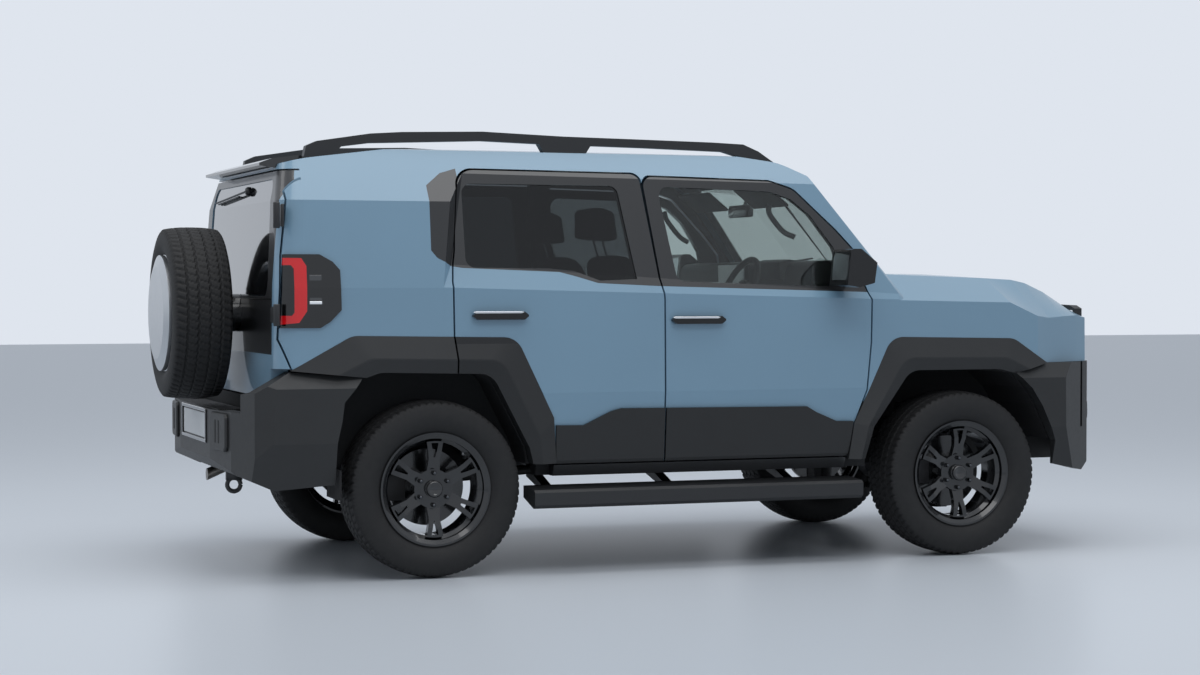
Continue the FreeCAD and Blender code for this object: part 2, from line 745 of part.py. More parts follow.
front_flare_outer = side_view(FRONT_FLARE_OUTER_SHARES, flare_radii)
front_flare_inner = side_view(FRONT_FLARE_INNER_SHARES, flare_radii)
rear_flare_outer = side_view(REAR_FLARE_OUTER_SHARES, flare_radii)
rear_flare_inner = side_view(REAR_FLARE_INNER_SHARES, flare_radii)
front_flare = arch_flare("front_flare", front_flare_outer, front_flare_inner)
rear_flare = arch_flare("rear_flare", rear_flare_outer, rear_flare_inner)

side_start = half_width * 0.5


def side_prism(name, points, start=None, depth=None):
    """An outline cut through the right side of the body."""
    return prism(name, "XZ", points, start or side_start, depth or side_start + S.overrun)


def arch_cut(name, outer, low):
    """The space of a flare and of the wheel below it, taken out of the panels."""
    first, last = outer[0], outer[-1]
    floor = [(last[0], low), (first[0], low)]
    return side_prism(name, grown(outer + floor, S.seam))


ground_line = ZERO - S.overrun
front_arch_cut = arch_cut("front_arch_cut", front_flare_outer, ground_line)
rear_arch_cut = arch_cut("rear_arch_cut", rear_flare_outer, ground_line)
half_gap = S.panel_gap / 2
rear_door_prism = side_prism("rear_door_prism", grown(rear_door_line, -half_gap))
front_door_prism = side_prism("front_door_prism", grown(front_door_line, -half_gap))
rear_door_opening = side_prism("rear_door_opening", grown(rear_door_line, half_gap))
front_door_opening = side_prism("front_door_opening", grown(front_door_line, half_gap))
rear_glass_cut = side_prism("rear_glass_cut", grown(rear_glass_line, S.seam))
front_glass_cut = side_prism("front_glass_cut", grown(front_glass_line, S.seam))
rear_glass_prism = side_prism("rear_glass_prism", rear_glass_line)
front_glass_prism = side_prism("front_glass_prism", front_glass_line)

door_rear_right = cut("rear_door_shape", common("rear_door_blank", door_shell, rear_door_prism),
                      rear_glass_cut, rear_arch_cut)
door_front_right = cut("front_door_shape", common("front_door_blank", door_shell, front_door_prism),
                       front_glass_cut, front_arch_cut)
glass_rear_right = common("rear_glass_shape", glass_shell, rear_glass_prism)
glass_front_right = common("front_glass_shape", glass_shell, front_glass_prism)

# Door cladding: a plate on the lower door skin with a raised, bent top edge.
CLADDING_SHARES = ((0.2130, 0.246), (0.2120, 0.335), (0.262, 0.334), (0.312, 0.365), (0.330, 0.371),
                   (0.683, 0.367), (0.702, 0.353), (0.742, 0.331), (0.776, 0.330), (0.768, 0.246))


def flank(name, offset):
    """The lower right side of the cabin moved outwards."""
    points = [(ZERO - half_width * 0.5, level(CABIN_CORNER_SHARES[0][0]))]
    for height, width, _ in CABIN_CORNER_SHARES[:4]:
        points.append((ZERO - across(width) - offset, level(height)))
    points.append((ZERO - half_width * 0.5, level(CABIN_CORNER_SHARES[3][0])))
    return prism(name, "YZ", points, ZERO - half_length, half_length * 2)


cladding_shell = cut("cladding_shell", flank("cladding_face", S.cladding_depth), flank("cladding_back", S.seam))
cladding_prism = side_prism("cladding_prism", side_view(CLADDING_SHARES))
cladding = common("cladding_plate", cladding_shell, cladding_prism)
cladding_rear = common("rear_cladding", cladding, rear_door_prism)
cladding_front = common("front_cladding", cladding, front_door_prism)
flare_on_door = common("flare_on_door", rear_flare, rear_door_prism)
flare_on_body = cut("flare_on_body", rear_flare, rear_door_opening)


# Body zones: what belongs to the tailgate, the roof, the windscreen and the hood.
TAILGATE_SIDE_SHARES = ((-0.594, 0.467), (-0.640, 0.533), (-0.625, 0.714), (-0.600, 0.837),
                        (-0.606, 0.905), (-0.760, 0.905), (-0.760, 0.467))
TAILGATE_HALF_SHARE = 0.840
TAILGATE_CORNER_SHARE = 0.4375
TAILGATE_WALL_SHARES = ((-0.050, 0.401), (0.765, 0.401), (0.785, 0.4375), (0.840, 0.4375), (0.840, 0.905),
                        (-0.050, 0.905))
REAR_SILL_SHARE = 0.285
ROOF_FOOT_SHARE = 0.896
REAR_GLASS_HALF_SHARES = ((0.000, 0.627), (0.755, 0.627), (0.700, 0.886), (0.000, 0.886))
SCREEN_SHARES = ((0.000, 0.6950), (0.690, 0.6880), (0.800, 0.6680), (0.668, 0.9020), (0.000, 0.9050))
HOOD_PIN_SHARE = 0.600
HOOD_PIVOT_SHARE = 0.6745
HOOD_SHARES = ((0.886, 0.000), (0.886, 0.682), (1.400, 0.682), (1.779, 0.605), (1.779, 0.000))


def half_outline(shares, radii=None):
    """Points across the car on its right half from (half width share, height share) pairs."""
    radii = radii or {}
    return [(ZERO - across(width), level(height)) + ((radii[i],) if i in radii else ())
            for i, (width, height) in enumerate(shares)]


def plan_outline(shares, radii=None):
    """Points of a plan outline on the right half from (station, half width share) pairs."""
    radii = radii or {}
    return [(along(station), ZERO - across(width)) + ((radii[i],) if i in radii else ())
            for i, (station, width) in enumerate(shares)]


def tailgate_zone(name, grow):
    """The space of the tailgate: the rear wall and its wrap round the corner."""
    wrap = prism(f"{name}_wrap", "XZ", grown(side_view(TAILGATE_SIDE_SHARES), grow), ZERO - S.overrun,
                 half_width + S.overrun * 2)
    wall = prism(f"{name}_wall", "YZ", grown(half_outline(TAILGATE_WALL_SHARES), grow),
                 ZERO - half_length, along(-0.530) + half_length)
    return fuse(name, wrap, wall)


def whole(name, half, merged=True):
    """Both halves of a piece that crosses the middle plane, their split faces merged or kept."""
    result = fuse(name, half, mirror(f"{name}_other_half", half))
    result.Refine = merged
    return result


far_up = S.overall_height * 1.1
sill_bottom = level(CABIN_CORNER_SHARES[0][0])
bumper_top = level(0.462)
roof_zone = block("roof_zone", ZERO - half_length, half_length, ZERO - S.roof_half_width, S.overrun,
                  level(ROOF_FOOT_SHARE), far_up)
screen_cut = prism("screen_cut", "YZ", grown(half_outline(SCREEN_SHARES, {2: S.opening_radius,
                                                                           3: S.opening_radius}), S.seam),
                   along(0.640), S.wheelbase * 0.3)
screen_prism = prism("screen_prism", "YZ", half_outline(SCREEN_SHARES, {2: S.opening_radius,
                                                                        3: S.opening_radius}),
                     along(0.640), S.wheelbase * 0.3)
tail_glass_line = half_outline(REAR_GLASS_HALF_SHARES, {1: S.opening_radius * 1.5, 2: S.opening_radius * 1.5})
tail_glass_cut = prism("tail_glass_cut", "YZ", grown(tail_glass_line, S.seam), ZERO - half_length,
                       S.rear_overhang * 0.6)
tail_glass_prism = prism("tail_glass_prism", "YZ", tail_glass_line, ZERO - half_length,
                         S.rear_overhang * 0.6)
front_wall = along(0.820)
wheel_space = block("front_wheel_space", front_wall, half_length, ZERO - half_width, S.overrun,
                    ZERO, level(0.460))
bulkhead_zone = block("bulkhead_zone", front_wall, half_length, ZERO - across(0.755), S.overrun,
                      level(0.460), level(0.705))
rear_space = block("rear_space", ZERO - half_length, along(-0.380), ZERO - half_width, S.overrun,
                   ZERO, bumper_top + S.seam)
rear_corner_space = block("rear_corner_space", ZERO - half_length, along(-0.594) + half_gap,
                          ZERO - half_width, S.overrun, ZERO, level(0.470))

lamp_line = ((-0.660, 0.718), (-0.479, 0.718), (-0.427, 0.702), (-0.398, 0.684), (-0.394, 0.597),
             (-0.440, 0.571), (-0.480, 0.558), (-0.660, 0.558))
lamp_root = half_width - S.lamp_depth - S.lamp_proud
lamp_cut = side_prism("lamp_cut", grown(side_view(lamp_line), S.seam), lamp_root - S.seam,
                      S.lamp_depth + S.overrun)
lamp_prism = side_prism("lamp_prism", side_view(lamp_line), lamp_root, S.lamp_depth + S.overrun)
lamp_hull = half_hull("lamp_hull", ZERO - S.lamp_proud, ZERO - S.lamp_proud, ZERO)
tailgate_space = tailgate_zone("tailgate_space", half_gap)
rear_sill_zone = cut("rear_sill_zone", block("rear_sill_blank_zone", ZERO - half_length, along(-0.560),
                                             ZERO - across(TAILGATE_HALF_SHARE), S.overrun,
                                             level(REAR_SILL_SHARE), level(TAILGATE_CORNER_SHARE) - half_gap),
                     tailgate_space)
tail_lamp_right = cut("tail_lamp_shape", common("tail_lamp_blank", lamp_hull, lamp_prism), tailgate_space)

post = common("post_shape", post_shell, side_prism("post_prism", side_view(POST_SHARES)))
side_blank = cut("side_blank", cabin_shell, rear_door_opening, front_door_opening, tailgate_space,
                 roof_zone, screen_cut, wheel_space, bulkhead_zone, rear_arch_cut,
                 front_arch_cut, lamp_cut,
                 rear_space, rear_corner_space, nose_shell)
# Hinge leaves: one fills the gap at the front door's edge, one stands on the post for the rear door.
LEAF_LEVEL_SHARES = (0.430, 0.560)
leaf_front = [block(f"front_leaf_{index}", along(0.780), along(0.830), ZERO - across(0.976) + S.nose_wall + half_gap,
                    ZERO - across(0.976) + S.door_wall, level(share), level(share) + S.leaf_height)
              for index, share in enumerate(LEAF_LEVEL_SHARES)]
leaf_room = side_prism("leaf_room", grown(front_door_line, S.rest_gap - half_gap))
leaves_front = cut("leaves_front", common("leaves_front_blank", front_door_opening, fuse("leaves_front_set", *leaf_front)),
                   leaf_room)
post_line = along(POST_SHARES[4][0])
leaves_rear = [block(f"rear_leaf_{index}", post_line + half_gap, post_line + S.leaf_height * 0.8,
                     S.door_wall - S.door_play + S.rest_gap * 4 - across(width), S.door_wall - across(width),
                     level(share), level(share) + S.leaf_height)
               for index, (share, width) in enumerate(((0.410, 0.976), (0.560, 0.9709)))]
side_right = fuse("side_shape", side_blank, cut("post_clear", post, roof_zone), leaves_front, *leaves_rear)
roof_half = cut("roof_half", common("roof_blank", cabin_shell, roof_zone), screen_cut, tailgate_space)
bulkhead_half = cut("bulkhead_half", common("bulkhead_blank", cabin_shell, bulkhead_zone), screen_cut,
                    nose_shell)
tailgate_half = cut("tailgate_half", common("tailgate_blank", cabin_shell, tailgate_zone("tailgate_inner",
                                                                                         -half_gap)),
                    tail_glass_cut)
tail_glass_half = common("tail_glass_half", glass_shell, tail_glass_prism)
screen_half = common("screen_half", glass_shell, screen_prism)

hood_line = plan_outline(HOOD_SHARES)
hood_space = prism("hood_space", "XY", grown(hood_line, half_gap), level(0.50), S.overall_height * 0.3)
hood_prism = prism("hood_prism", "XY", grown(hood_line, -half_gap), level(0.50), S.overall_height * 0.3)
hood_edge = block("hood_middle_strip", along(HOOD_SHARES[0][0]) + half_gap,
                  along(HOOD_SHARES[3][0]) - half_gap, ZERO - half_gap, ZERO, level(0.50), far_up)
hood_half = common("hood_half", nose_shell, fuse("hood_zone", hood_prism, hood_edge))
nose_side = block("nose_side", along(0.780), half_length, ZERO - half_width, ZERO, ZERO, far_up)
cowl_zone = block("cowl_zone", along(0.800), along(HOOD_SHARES[0][0]) - half_gap,
                  ZERO - across(HOOD_SHARES[1][1]), ZERO, level(0.630), far_up)
nose_front = block("nose_front", along(HOOD_SHARES[3][0]) + S.panel_gap, half_length,
                   ZERO - half_width, ZERO, bumper_top + S.seam, far_up)
bumper_space = block("bumper_space", along(1.489), half_length, ZERO - half_width, ZERO,
                     ZERO, bumper_top + S.seam)
fender_right = cut("fender_shape", common("fender_blank", nose_shell, nose_side), front_door_opening,
                   front_arch_cut, hood_space, cowl_zone, nose_front, bumper_space, inner_half,
                   block("fender_under", front_wall - S.overrun, along(1.489), ZERO - across(0.90), ZERO,
                         ZERO, level(0.50)))
cowl_half = cut("cowl_half", common("cowl_blank", nose_shell, cowl_zone), outer_half)
hood_pins = [rod(f"hood_pin_{index}", "y", half_gap - S.rest_gap, S.leaf_height, along(HOOD_SHARES[0][0]),
                 across(HOOD_PIN_SHARE) * side - S.leaf_height / 2, level(HOOD_PIVOT_SHARE))
             for index, side in enumerate((-1, 1))]
grille_zone = prism("grille_opening", "YZ", half_outline(((0.000, 0.482), (0.640, 0.482), (0.640, 0.577),
                                                         (0.000, 0.577))),
                    along(1.700), S.front_overhang * 0.3)
front_panel_half = cut("front_panel_half", common("front_panel_blank", nose_shell, nose_front), grille_zone)


# The rear wheel tub's outline runs from the flare's inside down behind the tyre.
TUB_INNER_SHARE = 0.660
TUB_FOOT_SHARE = 0.240
TUB_REAR_SHARES = ((-0.375, 0.392), (-0.395, 0.300), (-0.395, 0.240))
tub_line = side_view(REAR_FLARE_INNER_SHARES + TUB_REAR_SHARES, flare_radii)
tub_line[0] = (along(REAR_FLARE_INNER_SHARES[0][0]), level(TUB_FOOT_SHARE))
tub_out = half_width - S.flare_root
tub_in = across(TUB_INNER_SHARE)
tub_volume = side_prism("tub_volume", grown(tub_line, S.liner_thickness), tub_in, tub_out)

# Bumpers: a side outline, a plan outline and a section across the car, hollow inside.
FRONT_BUMPER_SHARES = ((1.489, 0.462), (1.874, 0.462), (1.967, 0.440), (2.000, 0.408), (2.000, 0.280),
                       (1.978, 0.252), (1.772, 0.193), (1.539, 0.214), (1.539, 0.272), (1.449, 0.359),
                       (1.389, 0.401), (1.301, 0.438))
FRONT_BUMPER_PLAN_SHARES = ((1.200, 0.000), (1.200, 0.9975), (1.587, 0.9975), (1.837, 0.798),
                            (1.957, 0.604), (2.000, 0.323), (2.000, 0.000))
BUMPER_SECTION_SHARES = ((0.000, 0.4625), (0.949, 0.4625), (0.9975, 0.426), (0.994, 0.306), (0.927, 0.190),
                         (0.000, 0.190))
FRONT_HOLLOW_SHARES = (0.150, 0.438)
REAR_BUMPER_SHARES = ((-0.291, 0.448), (-0.599, 0.462), (-0.744, 0.417), (-0.830, 0.408), (-0.830, 0.262),
                      (-0.790, 0.236), (-0.660, 0.204), (-0.414, 0.214), (-0.414, 0.306), (-0.381, 0.388))
REAR_BUMPER_PLAN_SHARES = ((-0.250, 0.000), (-0.250, 0.9975), (-0.660, 0.9975), (-0.744, 0.976),
                           (-0.800, 0.755), (-0.828, 0.400), (-0.828, 0.000))
REAR_HOLLOW_SHARES = (0.150, 0.392)
INTAKE_SHARES = ((0.000, 0.300), (0.520, 0.300), (0.470, 0.372), (0.000, 0.372))
STEP_PAD_SHARE = 0.372


def bumper(name, side, plan, hollow, reach):
    """The right half of a bumper, open towards the car."""
    low, high = hollow
    blank = common(f"{name}_blank", side_prism(f"{name}_side", side_view(side), ZERO,
                                               half_width + S.overrun),
                   prism(f"{name}_plan", "XY", plan_outline(plan), ZERO, S.overall_height),
                   prism(f"{name}_section", "YZ", half_outline(BUMPER_SECTION_SHARES), ZERO - half_length,
                         half_length * 2))
    core = grown(plan_outline(plan), -S.bumper_wall)
    core[0] = (along(reach), core[0][1] + S.bumper_wall)
    core[1] = (along(reach), core[1][1])
    core[-1] = (core[-1][0], core[-1][1] + S.bumper_wall)
    core[0] = (core[0][0], S.overrun)
    core[-1] = (core[-1][0], S.overrun)
    space = prism(f"{name}_hollow", "XY", core, level(low), level(high - low))
    return cut(name, blank, space)


front_bumper_half = cut("front_bumper_half", bumper("front_bumper_shell", FRONT_BUMPER_SHARES,
                                                    FRONT_BUMPER_PLAN_SHARES, FRONT_HOLLOW_SHARES, 1.150),
                        block("engine_room", along(1.150), along(1.780), ZERO - across(0.860), S.overrun,
                              level(0.300), level(0.480)),
                        prism("front_intake", "YZ", half_outline(INTAKE_SHARES), along(1.970), S.overrun * 2),
                        front_flare)
rear_step_space = block("rear_step_space", ZERO - half_length, along(-0.300),
                        ZERO - across(TAILGATE_HALF_SHARE) - half_gap, S.overrun,
                        level(STEP_PAD_SHARE), level(0.480))
rear_hull_space = block("rear_hull_space", along(-0.655), along(-0.250),
                        ZERO - across(TAILGATE_HALF_SHARE) - half_gap, S.overrun, ZERO, level(0.480))
rear_bumper_half = cut("rear_bumper_half", bumper("rear_bumper_shell", REAR_BUMPER_SHARES,
                                                  REAR_BUMPER_PLAN_SHARES, REAR_HOLLOW_SHARES, -0.200),
                       rear_step_space, rear_hull_space, flare_on_body, tub_volume)

# Grille and headlamps stand in front of the nose panel.
GRILLE_FACE_SHARES = ((0.000, 0.470), (0.690, 0.470), (0.690, 0.592), (0.640, 0.600), (0.000, 0.606))
LAMP_FACE_SHARES = ((0.470, 0.482), (0.680, 0.482), (0.680, 0.588), (0.470, 0.588))
SLAT_SHARES = ((0.490, 0.504), (0.516, 0.530), (0.542, 0.556), (0.568, 0.582))
SLAT_FIELD_SHARES = ((0.000, 0.482), (0.450, 0.482), (0.450, 0.590), (0.000, 0.590))
nose_tip = along(NOSE_ROW_SHARES[-1][0])
grille_blank = prism("grille_blank", "YZ", half_outline(GRILLE_FACE_SHARES), nose_tip, S.grille_depth)
slat_field = prism("slat_field", "YZ", half_outline(SLAT_FIELD_SHARES), nose_tip + S.grille_depth * 0.3,
                   S.grille_depth)
lamp_hole = prism("lamp_hole", "YZ", grown(half_outline(LAMP_FACE_SHARES), S.seam), nose_tip, S.grille_depth * 2)
slats = [block(f"slat_{index}", nose_tip + S.grille_depth * 0.3, nose_tip + S.grille_depth * 0.85,
               ZERO - across(SLAT_FIELD_SHARES[1][0]), ZERO, level(low), level(high))
         for index, (low, high) in enumerate(SLAT_SHARES)]
grille_half = fuse("grille_half", cut("grille_frame", grille_blank, slat_field, lamp_hole), *slats)
headlamp_right = prism("headlamp_shape", "YZ", half_outline(LAMP_FACE_SHARES, {1: S.opening_radius * 0.4,
                                                                               2: S.opening_radius * 0.4}),
                       nose_tip, S.grille_depth - S.glass_inset)

# Roof rails with three feet each.
RAIL_TOP_SHARES = ((-0.500, 0.927), (-0.487, 0.960), (-0.442, 0.971), (-0.220, 0.990), (-0.086, 0.995),
                   (0.107, 1.000), (0.254, 0.993), (0.405, 0.990), (0.539, 0.987), (0.598, 0.984),
                   (0.628, 0.968), (0.667, 0.935))
RAIL_LOW_SHARES = ((0.610, 0.935), (0.590, 0.955), (0.560, 0.966), (0.405, 0.971), (0.306, 0.973),
                   (0.290, 0.940), (0.226, 0.940), (0.210, 0.975), (0.107, 0.979), (-0.220, 0.969),
                   (-0.340, 0.960), (-0.380, 0.940), (-0.400, 0.920))
rail_prism = side_prism("rail_prism", side_view(RAIL_TOP_SHARES + RAIL_LOW_SHARES),
                        S.rail_position - S.rail_width / 2, S.rail_width)
rail_right = cut("roof_rail_shape", rail_prism, outer_half)

# Rear spoiler over the tailgate's top edge.
SPOILER_SHARES = ((-0.470, 0.939), (-0.520, 0.9395), (-0.618, 0.932), (-0.668, 0.922), (-0.668, 0.916),
                  (-0.600, 0.9105), (-0.480, 0.9105))
spoiler_half = cut("spoiler_half", side_prism("spoiler_blank", side_view(SPOILER_SHARES), ZERO,
                                              across(0.675)), outer_half)

# Running boards on brackets from the frame.
STEP_ENDS_SHARES = (0.166, 0.785)
STEP_SECTION_SHARES = ((0.860, 0.197), (1.020, 0.192), (1.037, 0.186), (1.037, 0.158), (1.015, 0.150),
                       (0.860, 0.170))
STEP_BRACKET_SHARES = (0.230, 0.460, 0.700)
step_board = prism("step_board", "YZ", half_outline(STEP_SECTION_SHARES), along(STEP_ENDS_SHARES[0]),
                   S.wheelbase * (STEP_ENDS_SHARES[1] - STEP_ENDS_SHARES[0]))
rail_out = S.frame_width / 2
rail_in = rail_out - S.frame_rail_width
rail_top = S.frame_level
rail_low = S.frame_level - S.frame_rail_height
bracket_line = [(ZERO - rail_in, rail_low), (ZERO - rail_out, rail_low),
                (ZERO - across(0.600), level(0.186)), (ZERO - across(0.860), level(0.186)),
                (ZERO - across(0.860), level(0.172)), (ZERO - across(0.590), level(0.172)),
                (ZERO - rail_in, rail_low - S.step_thickness / 2)]
step_brackets = [prism(f"step_bracket_{index}", "YZ", bracket_line, along(share), S.step_thickness)
                 for index, share in enumerate(STEP_BRACKET_SHARES)]
step_right = fuse("step_shape", step_board, *step_brackets)

# Ladder frame: two kicked rails, cross tubes and body mounts.
FRAME_TOP_SHARES = ((-0.700, 1.0), (0.160, 1.0), (0.245, 0.0), (1.000, 0.0))
FRAME_TAIL_SHARE = -0.8242
FRAME_NOSE_SHARE = 1.898
CROSS_TUBE_SHARES = ((-0.720, 1.0), (-0.420, 1.0), (0.180, 0.72), (0.520, -0.2), (1.560, 0.0), (1.850, 0.0))
MOUNT_SHARES = (0.300, 0.760)
frame_tail = along(FRAME_TAIL_SHARE) + S.bumper_wall
frame_nose = along(FRAME_NOSE_SHARE)
frame_line = [(frame_tail, S.frame_level + S.frame_kick)]
frame_line += [(along(s), S.frame_level + S.frame_kick * k) for s, k in FRAME_TOP_SHARES]
frame_line += [(frame_nose, S.frame_level)]
frame_line += [(x, z - S.frame_rail_height) for x, z in reversed(frame_line)]
frame_rail = prism("frame_rail", "XZ", frame_line, rail_in, S.frame_rail_width)
cross_tubes = [rod(f"cross_tube_{index}", "y", S.cross_tube_diameter / 2, rail_in * 2 + S.frame_rail_width,
                   along(s), ZERO - rail_in - S.frame_rail_width / 2,
                   S.frame_level + S.frame_kick * k - S.frame_rail_height / 2)
               for index, (s, k) in enumerate(CROSS_TUBE_SHARES)]
floor_low = S.floor_level - S.floor_thickness
body_mounts = [rod(f"body_mount_{index}", "z", S.cross_tube_diameter / 2, floor_low - S.frame_level,
                   along(s), ZERO - rail_in - S.frame_rail_width / 2, S.frame_level)
               for index, s in enumerate(MOUNT_SHARES)]
tower_wall = S.overrun / 3
tower = prism("spring_tower", "YZ", [(ZERO - rail_out, rail_low + S.overrun), (ZERO - rail_out, S.tower_level),
                                     (ZERO - S.tower_reach, S.tower_level),
                                     (ZERO - S.tower_reach, S.tower_level - tower_wall),
                                     (ZERO - rail_out - tower_wall, S.tower_level - tower_wall),
                                     (ZERO - rail_out - tower_wall, rail_low + S.overrun)],
              front_axle - S.spring_offset - S.tower_length / 2, S.tower_length)
frame_half = fuse("frame_half", frame_rail, tower, *body_mounts)
frame_shape = fuse("frame_shape", frame_half, mirror("frame_other_half", frame_half), *cross_tubes)


# Floor pan: floor plates, rockers, rear sill, tunnel and the two rear wheel tubs.
FLOOR_BREAK_SHARES = (0.200, 0.820)
CARGO_LEVEL_SHARE = 0.356
tunnel_half = S.gearbox_diameter / 2 + S.overrun
tunnel_top = level(CARGO_LEVEL_SHARE)
plate = S.floor_thickness
floor_plate = block("floor_plate", along(FLOOR_BREAK_SHARES[0]), along(FLOOR_BREAK_SHARES[1]),
                    ZERO - half_width, ZERO - tunnel_half, floor_low, S.floor_level)
tunnel_wall = block("tunnel_wall", along(FLOOR_BREAK_SHARES[0]), along(FLOOR_BREAK_SHARES[1]),
                    ZERO - tunnel_half, plate - tunnel_half, floor_low, tunnel_top)
tunnel_roof = block("tunnel_roof", along(FLOOR_BREAK_SHARES[0]), along(FLOOR_BREAK_SHARES[1]),
                    ZERO - tunnel_half, ZERO, tunnel_top - plate, tunnel_top)
cargo_plate = block("cargo_plate", along(-0.650), along(FLOOR_BREAK_SHARES[0]), ZERO - half_width, ZERO,
                    tunnel_top - plate, tunnel_top)
cargo_step = block("cargo_step", along(FLOOR_BREAK_SHARES[0]) - plate, along(FLOOR_BREAK_SHARES[0]),
                   ZERO - half_width, plate - tunnel_half, floor_low, tunnel_top)
rocker = block("rocker", along(FLOOR_BREAK_SHARES[0]) - plate, along(FLOOR_BREAK_SHARES[1]),
               ZERO - half_width, ZERO - across(0.780), sill_bottom, floor_low + plate / 2)
toe_board = block("toe_board", front_wall - S.floor_thickness, front_wall, ZERO - across(0.745), ZERO,
                  S.floor_level - plate / 2, level(0.470))
toe_shelf = block("toe_shelf", front_wall - plate, along(0.911), ZERO - across(0.740), ZERO, level(0.4605),
                  level(0.470))
tunnel_space = block("tunnel_space", along(0.400), front_wall + S.overrun, plate - tunnel_half, S.overrun,
                     ZERO, tunnel_top - plate)
tub_solid = side_prism("tub_solid", grown(tub_line, S.liner_thickness), tub_in, tub_out - tub_in)
tub_space = side_prism("tub_space", tub_line, tub_in + S.liner_thickness, tub_out)
tub_foot = block("tub_foot", ZERO - half_length, half_length, ZERO - half_width, ZERO, ZERO,
                 level(TUB_FOOT_SHARE) + S.liner_thickness)
rear_tub = cut("rear_tub", tub_solid, tub_space, tub_foot)
pan_inside = cut("pan_inside", common("pan_clipped", inner_half, fuse("pan_plates", floor_plate, tunnel_wall,
                                                                      tunnel_roof, cargo_plate, cargo_step,
                                                                      rocker, toe_board, toe_shelf)),
                 tub_volume, tunnel_space, post, frame_shape)
rear_sill = cut("rear_sill", common("rear_sill_blank", cabin_shell, rear_sill_zone), frame_shape)
rear_tub_clipped = common("rear_tub_clipped", rear_tub, inner_half)
floor_half = fuse("floor_half", pan_inside, rear_tub_clipped, rear_sill, bulkhead_half)

# Front wheel liners: a cover over the wheel and a wall beside the frame.
FRONT_LINER_SHARES = ((0.826, 0.230), (0.826, 0.316), (0.891, 0.448), (1.207, 0.448), (1.301, 0.438),
                      (1.389, 0.401), (1.449, 0.359), (1.539, 0.272), (1.539, 0.230))
liner_line = side_view(FRONT_LINER_SHARES, {2: S.flare_corner_radius, 3: S.flare_corner_radius})
liner_in = rail_out + S.liner_gap
liner_solid = side_prism("liner_solid", grown(liner_line, S.liner_thickness), liner_in, tub_out - liner_in)
liner_space = side_prism("liner_space", grown(liner_line, S.seam), liner_in + S.liner_thickness, tub_out)
arm_room = block("arm_room", front_axle - S.arm_spread, front_axle + S.arm_spread, ZERO - across(0.640), ZERO,
                 ZERO, S.tower_level + S.liner_gap)
liner_foot = block("liner_foot", ZERO - half_length, half_length, ZERO - half_width, ZERO, ZERO,
                   rail_top + S.liner_gap)
liner_right = cut("liner_shape", liner_solid, liner_space, liner_foot, arm_room, outer_half, frame_half,
                  front_bumper_half, fender_right)

# Mud flaps behind the rear wheels.
FLAP_SHARES = (0.180, 0.975, 0.715)
flap_back = along(TUB_REAR_SHARES[-1][0]) - S.flap_thickness
flap_right = block("flap_shape", flap_back, flap_back + S.flap_thickness,
                   ZERO - across(FLAP_SHARES[1]), ZERO - across(FLAP_SHARES[2]), level(FLAP_SHARES[0]),
                   level(TUB_FOOT_SHARE) + S.liner_thickness)

# Cabin: instrument panel, seats and the steering wheel on its column.
DASH_SHARES = ((0.845, 0.470), (0.845, 0.690), (0.800, 0.706), (0.760, 0.7105), (0.712, 0.706),
               (0.705, 0.640), (0.715, 0.560), (0.735, 0.470))
CONSOLE_SHARES = ((0.735, 0.470), (0.715, 0.560), (0.560, 0.500), (0.470, 0.480), (0.470, 0.356), (0.735, 0.356))
dash_half = common("dash_half", inner_half,
                   side_prism("dash_prism", side_view(DASH_SHARES, {3: S.opening_radius, 4: S.opening_radius}),
                              ZERO - S.seam, half_width))
console = side_prism("console_prism", side_view(CONSOLE_SHARES), ZERO - tunnel_half * 0.65, tunnel_half * 1.3)
CUSHION_SHARES = ((0.425, 0.395), (0.420, 0.465), (0.470, 0.470), (0.620, 0.482), (0.635, 0.455),
                  (0.610, 0.395))
BACK_SHARES = ((0.420, 0.430), (0.480, 0.470), (0.452, 0.560), (0.412, 0.690), (0.395, 0.722),
               (0.368, 0.722), (0.372, 0.640), (0.395, 0.500))
HEAD_SHARES = ((0.388, 0.755), (0.381, 0.825), (0.357, 0.836), (0.330, 0.830), (0.330, 0.760))
BASE_SHARES = ((0.440, 0.3114), (0.440, 0.395), (0.600, 0.395), (0.600, 0.3114))
seat_edge = S.seat_position - S.seat_width / 2
round_corner = S.opening_radius * 0.6
cushion = side_prism("seat_cushion", side_view(CUSHION_SHARES, {1: round_corner, 3: round_corner}), seat_edge,
                     S.seat_width)
seat_back = side_prism("seat_back", side_view(BACK_SHARES, {3: round_corner, 4: round_corner,
                                                            5: round_corner}),
                       seat_edge + S.seat_width * 0.02, S.seat_width * 0.96)
headrest = side_prism("seat_head", side_view(HEAD_SHARES, {1: round_corner * 0.8, 3: round_corner * 0.8}),
                      S.seat_position - S.seat_width * 0.27, S.seat_width * 0.54)
head_posts = [strut(f"head_post_{index}", "XY", S.half_shaft_diameter * 0.2,
                    (along(0.375), ZERO - S.seat_position + S.seat_width * 0.12 * side, level(0.700)),
                    (along(0.358), ZERO - S.seat_position + S.seat_width * 0.12 * side, level(0.780)))
              for index, side in enumerate((-1, 1))]
seat_base = side_prism("seat_base", side_view(BASE_SHARES), seat_edge + S.seat_width * 0.1,
                       S.seat_width * 0.8)
seat_right = fuse("seat_shape", cushion, seat_back, headrest, seat_base, *head_posts)
BENCH_SHARES = ((0.085, 0.356), (0.085, 0.445), (0.140, 0.462), (0.270, 0.474), (0.285, 0.445),
                (0.265, 0.400), (0.198, 0.356))
BENCH_BACK_SHARES = ((0.085, 0.430), (0.150, 0.455), (0.105, 0.600), (0.070, 0.700), (0.045, 0.735),
                     (0.018, 0.735), (0.035, 0.600))
